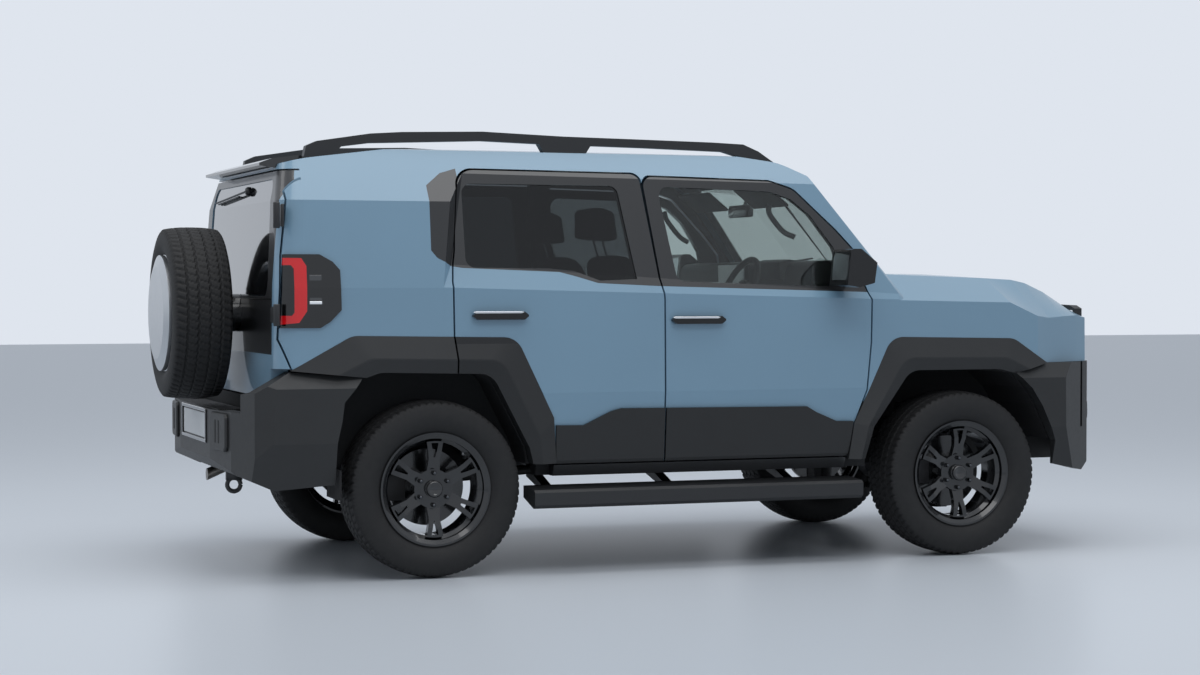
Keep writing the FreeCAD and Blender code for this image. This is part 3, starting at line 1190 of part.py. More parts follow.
bench = side_prism("bench_cushion", side_view(BENCH_SHARES, {3: round_corner}), ZERO - S.seam, across(0.600))
bench_back = side_prism("bench_back", side_view(BENCH_BACK_SHARES, {3: round_corner, 4: round_corner,
                                                                    5: round_corner}),
                        ZERO - S.seam, across(0.620))
bench_half = cut("bench_half", fuse("bench_blank", bench, bench_back), tub_volume)

WHEEL_CENTRE_SHARES = (0.640, 0.634)
steering_tilt = 25
wheel_x, wheel_z = along(WHEEL_CENTRE_SHARES[0]), level(WHEEL_CENTRE_SHARES[1])
wheel_y = ZERO - S.seat_position
turn_pose = FreeCAD.Rotation(FreeCAD.Vector(0, 1, 0), 90 + steering_tilt)
spin_pose = FreeCAD.Rotation(FreeCAD.Vector(0, 0, 1), 90)
column_bar = rod("column_bar", "z", S.column_diameter / 2, S.column_length, ZERO, ZERO, S.column_gap + S.rest_gap)
column = doc.addObject("Part::Compound", "steering_column")
column.Links = [column_bar]
column.Placement = FreeCAD.Placement(FreeCAD.Vector(), turn_pose)
place(column, wheel_x, wheel_y, wheel_z)
dash_shape = fuse("dash_shape", dash_half, mirror("dash_other_half", dash_half), console, column)
rim = doc.addObject("Part::Torus", "steering_rim")
bind(rim, "Radius1", (S.steering_wheel_diameter - S.steering_rim_diameter) / 2)
bind(rim, "Radius2", S.steering_rim_diameter / 2)
boss = rod("steering_boss", "z", S.column_diameter * 1.3, S.column_gap, ZERO, ZERO, ZERO)
STEERING_SPOKES_SHARE = (0, 180, 270)
reach = (S.steering_wheel_diameter - S.steering_rim_diameter) / 2
spokes = []
for index, angle in enumerate(STEERING_SPOKES_SHARE):
    way = (math.cos(math.radians(angle)), math.sin(math.radians(angle)))
    plane = "YZ" if abs(way[0]) > abs(way[1]) else "XZ"
    spokes.append(strut(f"steering_spoke_{index}", plane, S.steering_rim_diameter * 0.4,
                        (ZERO, ZERO, ZERO), (reach * way[0], reach * way[1], ZERO)))
rim_set = fuse("steering_set", rim, boss, *spokes)
rim_set.Placement = FreeCAD.Placement(FreeCAD.Vector(), turn_pose.multiply(spin_pose))
steering_shape = moved("steering_shape", rim_set, wheel_x, wheel_y, wheel_z)


# Wheels, drawn about their own centre with the outside towards -Y.
bead = S.tyre_bead_diameter / 2
tyre_out = S.tyre_diameter / 2
half_tyre = S.tyre_width / 2
half_rim = S.rim_width / 2
TYRE_WALL_SHARES = ((0.00, 0.748), (0.11, 0.750), (0.20, 0.870), (0.50, 1.000), (0.80, 0.940), (0.93, 0.860),
                    (1.00, 0.790))
TYRE_INSIDE_SHARES = ((0.93, 0.700), (0.80, 0.800), (0.50, 0.880), (0.20, 0.745), (0.00, 0.640))


def tyre_side(shares, side):
    return [(bead + (tyre_out - bead) * r, half_tyre * w * side) for r, w in shares]


tyre_line = tyre_side(TYRE_WALL_SHARES, -1) + tyre_side(TYRE_WALL_SHARES[::-1], 1)
tyre_line += tyre_side(TYRE_INSIDE_SHARES[::-1], 1) + tyre_side(TYRE_INSIDE_SHARES, -1)
tyre_shape = turned("tyre_ring", tyre_line)

flange = S.rim_diameter / 2
seat = bead - S.rest_gap
well = seat - S.rim_well
barrel = [(flange, -half_rim), (flange, S.rim_lip - half_rim), (seat, S.rim_lip - half_rim),
          (seat, ZERO - half_rim * 0.66), (well, ZERO - half_rim * 0.54), (well, half_rim * 0.50),
          (seat, half_rim * 0.64), (seat, half_rim - S.rim_lip), (flange, half_rim - S.rim_lip),
          (flange, half_rim), (flange - S.rim_wall, half_rim), (seat - S.rim_wall, half_rim * 0.88),
          (seat - S.rim_wall, half_rim * 0.66), (well - S.rim_wall, half_rim * 0.52),
          (well - S.rim_wall, ZERO - half_rim * 0.56), (seat - S.rim_wall, ZERO - half_rim * 0.68),
          (seat - S.rim_wall, ZERO - half_rim * 0.88), (flange - S.rim_wall, -half_rim)]
rim_barrel = turned("rim_barrel", barrel)
hub_face = half_rim * 0.60
spoke_face = half_rim * 0.84
hub_radius = S.hub_diameter / 2
rim_inside = well - S.rim_wall / 2
dish = turned("spoke_dish", [(hub_radius * 0.5, ZERO - hub_face), (hub_radius, ZERO - hub_face),
                             (rim_inside * 0.80, ZERO - spoke_face), (rim_inside, ZERO - spoke_face),
                             (rim_inside, S.spoke_thickness * 1.2 - spoke_face),
                             (rim_inside * 0.80, S.spoke_thickness - spoke_face),
                             (hub_radius, S.spoke_thickness - hub_face),
                             (hub_radius * 0.5, S.spoke_thickness - hub_face)])
SPOKE_COUNT = 6
SPOKE_SHARES = ((0.30, -0.50), (0.62, -0.40), (1.10, -0.66), (1.10, 0.66), (0.62, 0.40), (0.30, 0.50))
SLOT_SHARES = ((0.66, -0.06), (0.96, -0.26), (0.96, 0.26), (0.66, 0.06))


def around(shares, turn):
    """Points of a spoke outline turned about the hub: (radius share, width share) pairs."""
    c, s = math.cos(turn), math.sin(turn)
    points = []
    for radius, wide in shares:
        out, aside = rim_inside * radius, S.spoke_width * wide
        points.append((out * s + aside * c, out * c - aside * s))
    return points


spoke_blades = []
for index in range(SPOKE_COUNT):
    turn = 2 * math.pi * index / SPOKE_COUNT
    blade = prism(f"spoke_{index}", "XZ", around(SPOKE_SHARES, turn), ZERO - half_rim, half_rim * 2)
    slot = prism(f"spoke_slot_{index}", "XZ", around(SLOT_SHARES, turn), ZERO - half_rim, half_rim * 2)
    spoke_blades.append(cut(f"spoke_blade_{index}", blade, slot))
spoke_set = common("spoke_set", fuse("spoke_blades", *spoke_blades), dish)
stub_radius = S.axle_stub_diameter / 2
bore = stub_radius + S.bearing_clearance
bore_end = S.hub_bore_end
hub = turned("wheel_hub", [(bore, S.disc_offset + S.disc_thickness), (bore, ZERO - bore_end),
                           (ZERO, ZERO - bore_end), (ZERO, ZERO - hub_face - S.cap_height),
                           (S.hub_cap_diameter / 2 * 0.8, ZERO - hub_face - S.cap_height),
                           (S.hub_cap_diameter / 2, ZERO - hub_face - S.cap_height / 2),
                           (S.hub_cap_diameter / 2, ZERO - hub_face),
                           (hub_radius, ZERO - hub_face), (hub_radius, S.spoke_thickness - hub_face),
                           (hub_radius * 0.85, S.disc_offset), (S.disc_diameter / 2, S.disc_offset),
                           (S.disc_diameter / 2, S.disc_offset + S.disc_thickness)])
wheel_shape = fuse("wheel_shape", rim_barrel, spoke_set, hub)

# Front knuckle about the wheel centre, its stub axle in the hub's bore.
half_height = S.knuckle_height / 2
half_knuckle = S.knuckle_depth / 2
upright = block("upright", ZERO - half_knuckle, half_knuckle, S.kingpin_offset - half_knuckle,
                S.kingpin_offset + half_knuckle, ZERO - half_height, half_height)
stub = rod("front_stub", "y", stub_radius, S.kingpin_offset + bore_end - S.stub_end, ZERO,
           S.stub_end - bore_end, ZERO)
arm_half = S.tie_rod_diameter / 2
steering_arm = block("steering_arm", ZERO, S.steering_arm_reach + S.ball_joint_diameter / 2,
                     S.kingpin_offset - S.ball_joint_diameter / 2, S.kingpin_offset + S.ball_joint_diameter / 2,
                     ZERO - arm_half, arm_half)
disc_in = S.disc_offset + S.disc_thickness
disc_radius = S.disc_diameter / 2
caliper_out = disc_radius + S.caliper_gap + S.caliper_wall
caliper_block = block("caliper_block", ZERO - caliper_out, ZERO - disc_radius * 0.60,
                      S.disc_offset - S.caliper_gap - S.caliper_wall, disc_in + S.caliper_gap + S.caliper_wall,
                      ZERO - S.caliper_length / 2, S.caliper_length / 2)
caliper_slot = rod("caliper_slot", "y", disc_radius + S.caliper_gap,
                   S.disc_thickness + S.caliper_gap * 2, ZERO, S.disc_offset - S.caliper_gap, ZERO)
caliper = cut("caliper", caliper_block, caliper_slot)
caliper_bracket = block("caliper_bracket", ZERO - disc_radius * 0.95, ZERO,
                        disc_in + S.caliper_gap, disc_in + S.caliper_gap + S.caliper_wall,
                        ZERO - S.caliper_length * 0.36, S.caliper_length * 0.36)
knuckle_shape = fuse("knuckle_shape", upright, stub, steering_arm, caliper, caliper_bracket)

# Suspension, steering and drive.
wheel_y = half_track - S.kingpin_offset


def wishbone(name, low):
    """An arm from the frame to the ball joint, open in the middle."""
    spread, w = S.arm_spread / 2, S.arm_width / 2
    base, tip = ZERO - rail_out, ZERO - wheel_y - w
    outside = [(front_axle - spread - w, base), (front_axle - w, tip), (front_axle + w, tip),
               (front_axle + spread + w, base)]
    inside = [(front_axle - spread + w, base + w), (front_axle - w * 0.4, ZERO - wheel_y + w * 3),
              (front_axle + w * 0.4, ZERO - wheel_y + w * 3), (front_axle + spread - w, base + w),
              (front_axle + spread - w, ZERO), (front_axle - spread + w, ZERO)]
    return cut(name, prism(f"{name}_blank", "XY", outside, low, S.arm_thickness),
               prism(f"{name}_window", "XY", inside, low - S.overrun, S.overrun * 3))


lower_low = axle_level - half_height - S.bearing_clearance - S.arm_thickness
lower_arm = wishbone("lower_arm", lower_low)
upper_arm = wishbone("upper_arm", axle_level + half_height + S.bearing_clearance)
coil_y = ZERO - (rail_out + S.tower_reach) / 2
coil = rod("front_coil", "z", S.spring_diameter / 2 * 0.7, S.tower_level - tower_wall - lower_low - S.arm_thickness,
           front_axle - S.spring_offset, coil_y, lower_low + S.arm_thickness)
coil_seat = block("coil_seat", front_axle - S.spring_offset - S.spring_diameter / 2,
                  front_axle - S.spring_offset + S.spring_diameter / 2, coil_y - S.spring_diameter / 2,
                  coil_y + S.spring_diameter / 2, lower_low, lower_low + S.arm_thickness)
hangers = []
for index, side in enumerate((-1, 1)):
    middle = front_axle + S.arm_spread / 2 * side
    ends = (middle - S.arm_width * 0.4, middle + S.arm_width * 0.4)
    hangers.append(block(f"lower_hanger_{index}", *ends, ZERO - rail_out, ZERO - rail_in, lower_low, rail_low))
    hangers.append(block(f"upper_hanger_{index}", *ends, ZERO - rail_out, ZERO - rail_in, rail_top,
                         axle_level + half_height + S.bearing_clearance + S.arm_thickness))
axle_radius = S.axle_tube_diameter / 2
rear_spring = rod("rear_spring", "z", S.frame_rail_width / 2, rail_low + S.frame_kick - axle_level - axle_radius,
                  rear_axle, ZERO - (rail_in + rail_out) / 2, axle_level + axle_radius)
link = S.link_diameter / 2
trailing_link = strut("trailing_link", "YZ", link,
                      (rear_axle + axle_radius, ZERO - S.link_position, axle_level),
                      (along(0.245), ZERO - S.link_position, rail_low + link))
rear_damper = strut("rear_damper", "XY", link,
                    (rear_axle, ZERO - S.damper_position, axle_level + axle_radius),
                    (rear_axle - S.spring_diameter, ZERO - S.damper_position, S.frame_level + S.frame_kick))
damper_pin = rod("damper_pin", "y", link * 0.8, S.damper_position - rail_out + link,
                 rear_axle - S.spring_diameter, ZERO - S.damper_position - link,
                 S.frame_level + S.frame_kick - link)
link_pin = rod("link_pin", "y", link * 0.8, S.link_position - rail_out + link, along(0.245) - link,
               ZERO - S.link_position - link, rail_low + link)
suspension_half = fuse("suspension_half", lower_arm, upper_arm, coil, coil_seat, *hangers)
rear_links_half = fuse("rear_links_half", rear_spring, trailing_link, rear_damper, damper_pin, link_pin)
axle_half = fuse("axle_half",
                 rod("axle_tube", "y", axle_radius, half_track - S.kingpin_offset, rear_axle,
                     S.kingpin_offset - half_track, axle_level),
                 rod("rear_stub", "y", stub_radius, half_track + bore_end - S.stub_end, rear_axle,
                     S.stub_end - bore_end - half_track, axle_level),
                 moved("rear_caliper", fuse("rear_caliper_set", caliper, caliper_bracket), rear_axle,
                       ZERO - half_track, axle_level))
half_case = S.differential_length / 2
case_radius = S.differential_diameter / 2
differential = turned("differential", [(ZERO, half_case), (axle_radius, half_case), (case_radius, half_case * 0.4),
                                       (case_radius, ZERO - half_case * 0.4), (axle_radius, ZERO - half_case),
                                       (ZERO, ZERO - half_case)])
place(differential, rear_axle, ZERO, axle_level)
axle_shape = fuse("axle_shape", axle_half, mirror("axle_other_half", axle_half), differential)

front_case = turned("front_case", [(ZERO, half_case), (axle_radius, half_case), (case_radius * 0.72, half_case * 0.4),
                                   (case_radius * 0.72, ZERO - half_case * 0.4),
                                   (axle_radius, ZERO - half_case), (ZERO, ZERO - half_case)])
place(front_case, front_axle, ZERO, axle_level)
shaft_tip = wheel_y - half_knuckle - S.shaft_gap
half_shafts = rod("half_shafts", "y", S.half_shaft_diameter / 2, shaft_tip * 2, front_axle,
                  ZERO - shaft_tip, axle_level)
gearbox_start = along(0.600)
gearbox_level = S.frame_level + S.overrun / 4
engine_back = along(ROOFLINE_SHARES[6][0]) + S.wheel_clearance
gearbox = rod("gearbox", "x", S.gearbox_diameter / 2, engine_back - gearbox_start, gearbox_start, ZERO,
              gearbox_level)
rear_shaft = strut("rear_shaft", "YZ", S.shaft_diameter / 2,
                   (rear_axle + case_radius, ZERO, axle_level), (gearbox_start, ZERO, gearbox_level))
front_shaft = strut("front_shaft", "YZ", S.shaft_diameter / 2 * 0.7,
                    (gearbox_start + S.gearbox_diameter, S.gearbox_diameter * 0.4, gearbox_level - S.gearbox_diameter * 0.42),
                    (front_axle - case_radius * 0.6, S.gearbox_diameter * 0.3, axle_level))
gear_tube = along(CROSS_TUBE_SHARES[3][0])
tube_top = S.frame_level + S.frame_kick * CROSS_TUBE_SHARES[3][1] - S.frame_rail_height / 2 \
    + S.cross_tube_diameter / 2
gear_mount = block("gear_mount", gear_tube - S.overrun, gearbox_start + S.overrun, ZERO - S.overrun, S.overrun,
                   tube_top, tube_top + S.liner_thickness * 0.6)
case_mount = block("case_mount", front_axle - S.overrun, front_axle + S.overrun, ZERO - S.overrun, S.overrun,
                   axle_level, S.engine_level)
driveline_shape = fuse("driveline_shape", front_case, half_shafts, gearbox, rear_shaft, front_shaft, gear_mount,
                       case_mount)
engine_body = block("engine_body", engine_back, engine_back + S.engine_length, ZERO - S.engine_width / 2,
                    S.engine_width / 2, S.engine_level, S.engine_level + S.engine_height)
engine_mounts = block("engine_mounts", front_axle - S.overrun * 2, front_axle - S.overrun, ZERO - rail_in, rail_in,
                      rail_top - S.overrun, S.engine_level + S.overrun)
engine_shape = fuse("engine_shape", engine_body, engine_mounts)

pipe = S.pipe_diameter / 2
pipe_y = rail_in - S.overrun
pipe_low = rail_low - S.pipe_diameter * 0.7
pipe_high = rail_low + S.frame_kick * 0.75
pipe_route = [(along(-0.740), pipe_y - S.overrun, level(0.200)),
              (along(-0.560), pipe_y - S.overrun, rail_low + S.frame_kick * 0.5),
              (along(-0.400), pipe_y, pipe_high), (rear_axle, pipe_y, pipe_high),
              (along(0.190), pipe_y, pipe_low), (along(0.760), pipe_y, pipe_low),
              (engine_back, pipe_y - S.overrun, S.engine_level + pipe * 2)]
pipes = [strut(f"pipe_{index}", "YZ", pipe, first, last)
         for index, (first, last) in enumerate(zip(pipe_route, pipe_route[1:]))]
silencer = rod("silencer", "y", S.silencer_diameter / 2, S.silencer_length, pipe_route[1][0] + S.overrun,
               pipe_y - S.silencer_length * 0.92, rail_low + S.frame_kick * 0.5)
exhaust_shape = fuse("exhaust_shape", *pipes, silencer)
TANK_SHARES = (0.260, 0.440)
tank_shape = block("tank_shape", along(TANK_SHARES[0]), along(TANK_SHARES[1]), ZERO - rail_in,
                   ZERO - S.shaft_diameter - S.overrun / 2, floor_low - S.tank_height, floor_low)

rack_x = front_axle + S.steering_arm_reach
rack_z = axle_level - S.tie_rod_drop
rack_bar = rod("rack_bar", "y", S.rack_diameter / 2, (rail_in + S.rack_travel) * 2, rack_x,
               ZERO - rail_in - S.rack_travel, rack_z)
tie_rods = rod("tie_rods", "y", S.tie_rod_diameter / 2, wheel_y * 2, rack_x, ZERO - wheel_y, rack_z)
rack_eye = rod("rack_eye", "z", S.ball_joint_diameter * 0.45, S.tie_rod_drop, rack_x, ZERO - wheel_y,
               rack_z - S.tie_rod_drop * 0.6)
rack_shape = fuse("rack_shape", rack_bar, tie_rods, rack_eye, mirror("rack_other_eye", rack_eye))
housing = rod("rack_housing", "y", S.rack_housing_diameter / 2, rail_in * 2, rack_x, ZERO - rail_in, rack_z)
housing_bore = rod("rack_bore", "y", S.rack_diameter / 2 + S.bearing_clearance, rail_in * 2 + S.overrun * 2, rack_x,
                   ZERO - rail_in - S.overrun, rack_z)
rack_stay = block("rack_stay", rack_x - S.rack_housing_diameter / 2, rack_x + S.rack_housing_diameter / 2,
                  rail_in - S.overrun, rail_in + S.frame_rail_width / 2, rack_z, rail_low)
rack_stays = cut("rack_stays", fuse("rack_stay_pair", rack_stay, mirror("rack_other_stay", rack_stay), housing),
                 housing_bore)


# Door trims: cladding, the rear flare's door part, pull handles and the mirrors.
HANDLE_SHARES = (("rear", 0.062, 0.160, 0.574, 0.592), ("front", 0.424, 0.524, 0.562, 0.580))
MIRROR_SHARES = ((0.730, 0.735), (0.750, 0.735), (0.781, 0.703), (0.776, 0.656), (0.746, 0.646), (0.723, 0.651))
MIRROR_ARM_SHARES = ((0.738, 0.652), (0.766, 0.652), (0.762, 0.669), (0.742, 0.669))
handles = {}
for side, start, end, low, high in HANDLE_SHARES:
    bevel = (high - low) * 0.4
    outline = [(start, low + bevel), (start + bevel, low), (end - bevel, low), (end, low + bevel),
               (end, high - bevel), (end - bevel, high), (start + bevel, high), (start, high - bevel)]
    bar = side_prism(f"{side}_handle_bar", side_view(outline), half_width * 0.9,
                     half_width * 0.07 + S.handle_projection)
    handles[side] = cut(f"{side}_handle", bar, outer_half)
mirror_start = half_width + S.seam * 4
mirror_body = side_prism("mirror_body", side_view(MIRROR_SHARES, {0: S.opening_radius * 0.4,
                                                                 1: S.opening_radius * 0.4}),
                         mirror_start, S.mirror_width)
mirror_arm = side_prism("mirror_arm", side_view(MIRROR_ARM_SHARES), half_width * 0.9,
                        half_width * 0.1 + S.seam * 8)
mirror_set = cut("mirror_set", fuse("mirror_blank", mirror_body, mirror_arm), outer_half)
trim_front_right = group("trim_front_shape", cut("front_cladding_clear", cladding_front, outer_half),
                         handles["front"], mirror_set)
rear_cladding_clear = cut("rear_cladding_clear", cladding_rear, outer_half, rear_arch_cut)
flare_on_door_clear = cut("flare_on_door_clear", flare_on_door, door_rear_right)
trim_rear_right = group("trim_rear_shape", fuse("rear_lower_trim", rear_cladding_clear, flare_on_door_clear),
                        handles["rear"])

# Spare wheel on the tailgate with its hard cover.
spare_x = S.spare_gap + half_tyre - half_length
spare_back = along(-0.640)
spare_turn = FreeCAD.Rotation(FreeCAD.Vector(0, 0, 1), -90)


def hung(name, shape):
    """A shape drawn about the wheel centre, turned to face the rear on the tailgate."""
    result = moved(name, shape)
    result.Placement = FreeCAD.Placement(FreeCAD.Vector(), spare_turn)
    return place(result, spare_x, ZERO - S.spare_offset, S.spare_height)


spare_tyre = hung("spare_tyre_shape", tyre_shape)
spare_disc = rod("spare_disc", "y", rim_inside, S.spoke_thickness, ZERO, ZERO, ZERO)
spare_carrier = rod("spare_carrier", "x", S.hub_diameter / 2, spare_back - spare_x, spare_x,
                    ZERO - S.spare_offset, S.spare_height)
spare_wheel = cut("spare_wheel_shape", fuse("spare_wheel_blank", hung("spare_rim", fuse("spare_rim_set", rim_barrel,
                                                                                          spare_disc)),
                                            spare_carrier), outer_half, mirror("outer_other_half", outer_half))
COVER_SHARES = ((0.000, 1.000), (0.800, 1.000), (1.000, 0.600), (1.000, 0.100), (0.945, 0.000), (0.000, 0.000))
cover_radius = S.cover_diameter / 2
cover_foot = half_rim + S.rest_gap
cover_depth = half_tyre + S.spare_gap - cover_foot
spare_cover = hung("spare_cover_shape", turned("cover_disc", [(cover_radius * r, ZERO - cover_foot - cover_depth * d)
                                                             for r, d in COVER_SHARES]))




def both(name, shape):
    """A right shape and its mirror image in one piece."""
    return group(name, shape, mirror(f"{name}_left_shape", shape))


def at_wheel(name, shape, axle):
    """A shape drawn about the wheel centre, on the right end of an axle."""
    return moved(name, shape, axle, ZERO - half_track, axle_level)


node("ladder_frame", fuse("ladder_frame_shape", frame_shape, rack_stays))
node("floor_pan", whole("floor_pan_shape", floor_half, merged=False))
node("body_side_right", side_right)
node("body_side_left", mirror("side_left", side_right))
node("roof_panel", whole("roof_panel_shape", roof_half))
node("fenders", both("fenders_shape", fender_right))
node("nose_panels", group("nose_panels_shape", *hood_pins, whole("cowl_shape", cowl_half),
                          whole("front_panel_shape", front_panel_half)))
node("hood", whole("hood_shape", hood_half))
node("grille", whole("grille_shape", grille_half))
node("headlamps", both("headlamps_shape", headlamp_right))
node("tail_lamps", both("tail_lamps_shape", tail_lamp_right))
node("windscreen", whole("windscreen_shape", screen_half))
node("front_bumper", whole("front_bumper_shape", front_bumper_half))
node("rear_bumper", whole("rear_bumper_shape", rear_bumper_half))
flares_right = group("flares_right", front_flare, flare_on_body)
node("arch_flares", both("arch_flares_shape", flares_right))
node("roof_rails", both("roof_rails_shape", rail_right))
node("rear_spoiler", whole("spoiler_shape", spoiler_half))
node("side_steps", both("side_steps_shape", step_right))
node("wheel_liners", both("wheel_liners_shape", group("liners_right", liner_right, flap_right)))
node("dashboard", dash_shape)
node("front_seats", both("front_seats_shape", seat_right))
node("rear_seat", whole("rear_seat_shape", bench_half))
node("engine_block", engine_shape)
node("driveline", driveline_shape)
node("exhaust", exhaust_shape)
node("fuel_tank", tank_shape)
node("rear_axle", axle_shape)
node("suspension_links", both("suspension_shape", group("links_right", suspension_half, rear_links_half)))
for label, right in (("door_front", door_front_right), ("door_rear", door_rear_right),
                     ("glass_front", glass_front_right), ("glass_rear", glass_rear_right),
                     ("trim_front", trim_front_right), ("trim_rear", trim_rear_right)):
    node(f"{label}_right", right)
    node(f"{label}_left", mirror(f"{label}_left_shape", right))
node("tailgate", whole("tailgate_shape", tailgate_half))
node("tailgate_glass", whole("tailgate_glass_shape", tail_glass_half))
node("spare_wheel", spare_wheel)
node("spare_tyre", spare_tyre)
node("spare_cover", spare_cover)
knuckle_right = node("knuckle_right", at_wheel("knuckle_right_shape", knuckle_shape, front_axle))
node("knuckle_left", mirror("knuckle_left_shape", knuckle_right))
for end, axle in (("front", front_axle), ("rear", rear_axle)):
    for label, shape in (("wheel", wheel_shape), ("tyre", tyre_shape)):
        right = node(f"{label}_{end}_right", at_wheel(f"{label}_{end}_right_shape", shape, axle))
        node(f"{label}_{end}_left", mirror(f"{label}_{end}_left_shape", right))
node("steering_rack", rack_shape)
node("steering_wheel", steering_shape)

doc.recompute()
for thing in doc.Objects:
    states = thing.State
    if "Invalid" in states or "Error" in states:
        raise RuntimeError(f"{thing.Name} did not build: {states}")
for thing in NODES:
    shape = thing.Shape
    if shape.isNull() or not shape.isValid() or not shape.Solids:
        raise RuntimeError(f"{thing.Label} has no valid solid")
    print(thing.Label, len(shape.Solids), round(shape.Volume / 1e6, 3))

os.makedirs("parts", exist_ok=True)
for thing in NODES:
    thing.Shape.exportStep(f"parts/{thing.Label}.step")
print(len(NODES), "nodes")
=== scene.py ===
"""Looks of the lifted off-road vehicle: finishes for its CAD nodes and the finer pieces that ride on them."""

import logging
import math
from dataclasses import dataclass, field
from enum import Enum

import bmesh
import bpy
import numpy as np
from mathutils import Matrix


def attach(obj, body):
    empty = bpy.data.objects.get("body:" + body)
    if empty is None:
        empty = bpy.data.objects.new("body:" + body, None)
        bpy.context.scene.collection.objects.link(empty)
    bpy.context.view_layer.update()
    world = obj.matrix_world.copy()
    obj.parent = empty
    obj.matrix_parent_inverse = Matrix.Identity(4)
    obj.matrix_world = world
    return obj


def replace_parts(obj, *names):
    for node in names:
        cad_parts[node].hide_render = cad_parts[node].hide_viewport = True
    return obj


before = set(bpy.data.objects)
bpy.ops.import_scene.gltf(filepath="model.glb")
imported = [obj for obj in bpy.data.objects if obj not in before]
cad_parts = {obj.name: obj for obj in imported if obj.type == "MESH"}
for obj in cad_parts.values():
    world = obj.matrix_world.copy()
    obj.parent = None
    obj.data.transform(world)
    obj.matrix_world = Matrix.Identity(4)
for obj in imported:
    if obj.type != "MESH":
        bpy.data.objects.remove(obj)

LOG = logging.getLogger("off_road_vehicle")
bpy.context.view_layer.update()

Socket = bpy.types.NodeSocket
# A socket, or a number or colour in its place; points as nested tuples or as an array.
Value = Socket | float | tuple
Points = tuple | np.ndarray

FULL_TURN = 2 * math.pi
# Main sizes of the CAD model in metres.
HEIGHT = 1.96
WHEELBASE = 2.58
RADIUS = 0.3875
HALF_TRACK = 0.775
WHEEL_STATIONS = {"front": 1.3675, "rear": -1.2125}
SPARE_CENTRE = (-2.133, -0.060, 1.150)
# Distance from the middle at which lines towards a face start: outside the vehicle on every side.
FAR = 3.0
# Factors across an axle along Y, and across one along X.
ACROSS_Y = (1.0, 0.0, 1.0)
ACROSS_X = (0.0, 1.0, 1.0)


class Side(Enum):
    """Side of the vehicle; the value is the sign of Y."""

    RIGHT = -1
    LEFT = 1

    @property
    def word(self) -> str:
        """The side's name as the bodies use it."""
        return self.name.lower()

    def span(self, near: float, far: float) -> list[float]:
        """Two distances from the middle plane as y values, the lower one first."""
        return sorted((self.value * near, self.value * far))


class Lining(Enum):
    """Which faces of a body panel are cabin lining instead of paint."""

    NONE = 0
    WALLS = 1
    CEILING = 2


class Band(Enum):
    """Where the gloss black window band covers a panel."""

    NONE = 0
    DOOR = 1
    PILLAR = 2
    TAILGATE = 3


# Lower edge of the black window band along the side, as (x, z) in metres.
BELT_LINE = ((-1.232, 1.429), (-1.204, 1.394), (-1.1315, 1.359), (-1.0816, 1.351), (-0.633, 1.334),
             (-0.549, 1.312), (-0.459, 1.285), (-0.181, 1.272), (0.900, 1.243))
# Upper edge of its rear end on the body side, and the x where it ends.
PILLAR_TOP = ((-1.232, 1.7105), (-1.158, 1.768), (-1.082, 1.790), (-1.074, 1.000), (0.900, 1.000))
PILLAR_REAR = -1.2305
# Height over which the tailgate is black, and half the width of that field.
TAILGATE_BAND_LOW = 0.978
TAILGATE_BAND_HALF = 0.79
# Height under which the body side wears stone guard, like the floor.
SILL_TOP = 0.484


def linear(colour: str) -> tuple[float, float, float, float]:
    """Turns an sRGB hex colour into linear RGBA.

    Args:
        colour: six hex digits with a leading hash.

    Returns:
        Linear red, green, blue and an alpha of 1.
    """
    parts = [int(colour[i:i + 2], 16) / 255 for i in (1, 3, 5)]
    parts = [c / 12.92 if c <= 0.04045 else ((c + 0.055) / 1.055) ** 2.4 for c in parts]
    return (*parts, 1.0)


def add_node(tree: bpy.types.NodeTree, kind: str, settings: dict | None = None, **inputs) -> bpy.types.Node:
    """Adds a node, sets its properties and feeds its inputs.

    Args:
        tree: node tree that gets the node.
        kind: node type without its ShaderNode prefix.
        settings: property names and values.
        inputs: input names with spaces as underscores, or i0, i1 by place; sockets are linked, values set.

    Returns:
        The new node.
    """
    node = tree.nodes.new("ShaderNode" + kind)
    for name, value in (settings or {}).items():
        setattr(node, name, value)
    for name, value in inputs.items():
        place = name[1:]
        target = node.inputs[int(place)] if place.isdigit() else node.inputs[name.replace("_", " ")]
        if isinstance(value, Socket):
            tree.links.new(value, target)
        else:
            target.default_value = value
    return node


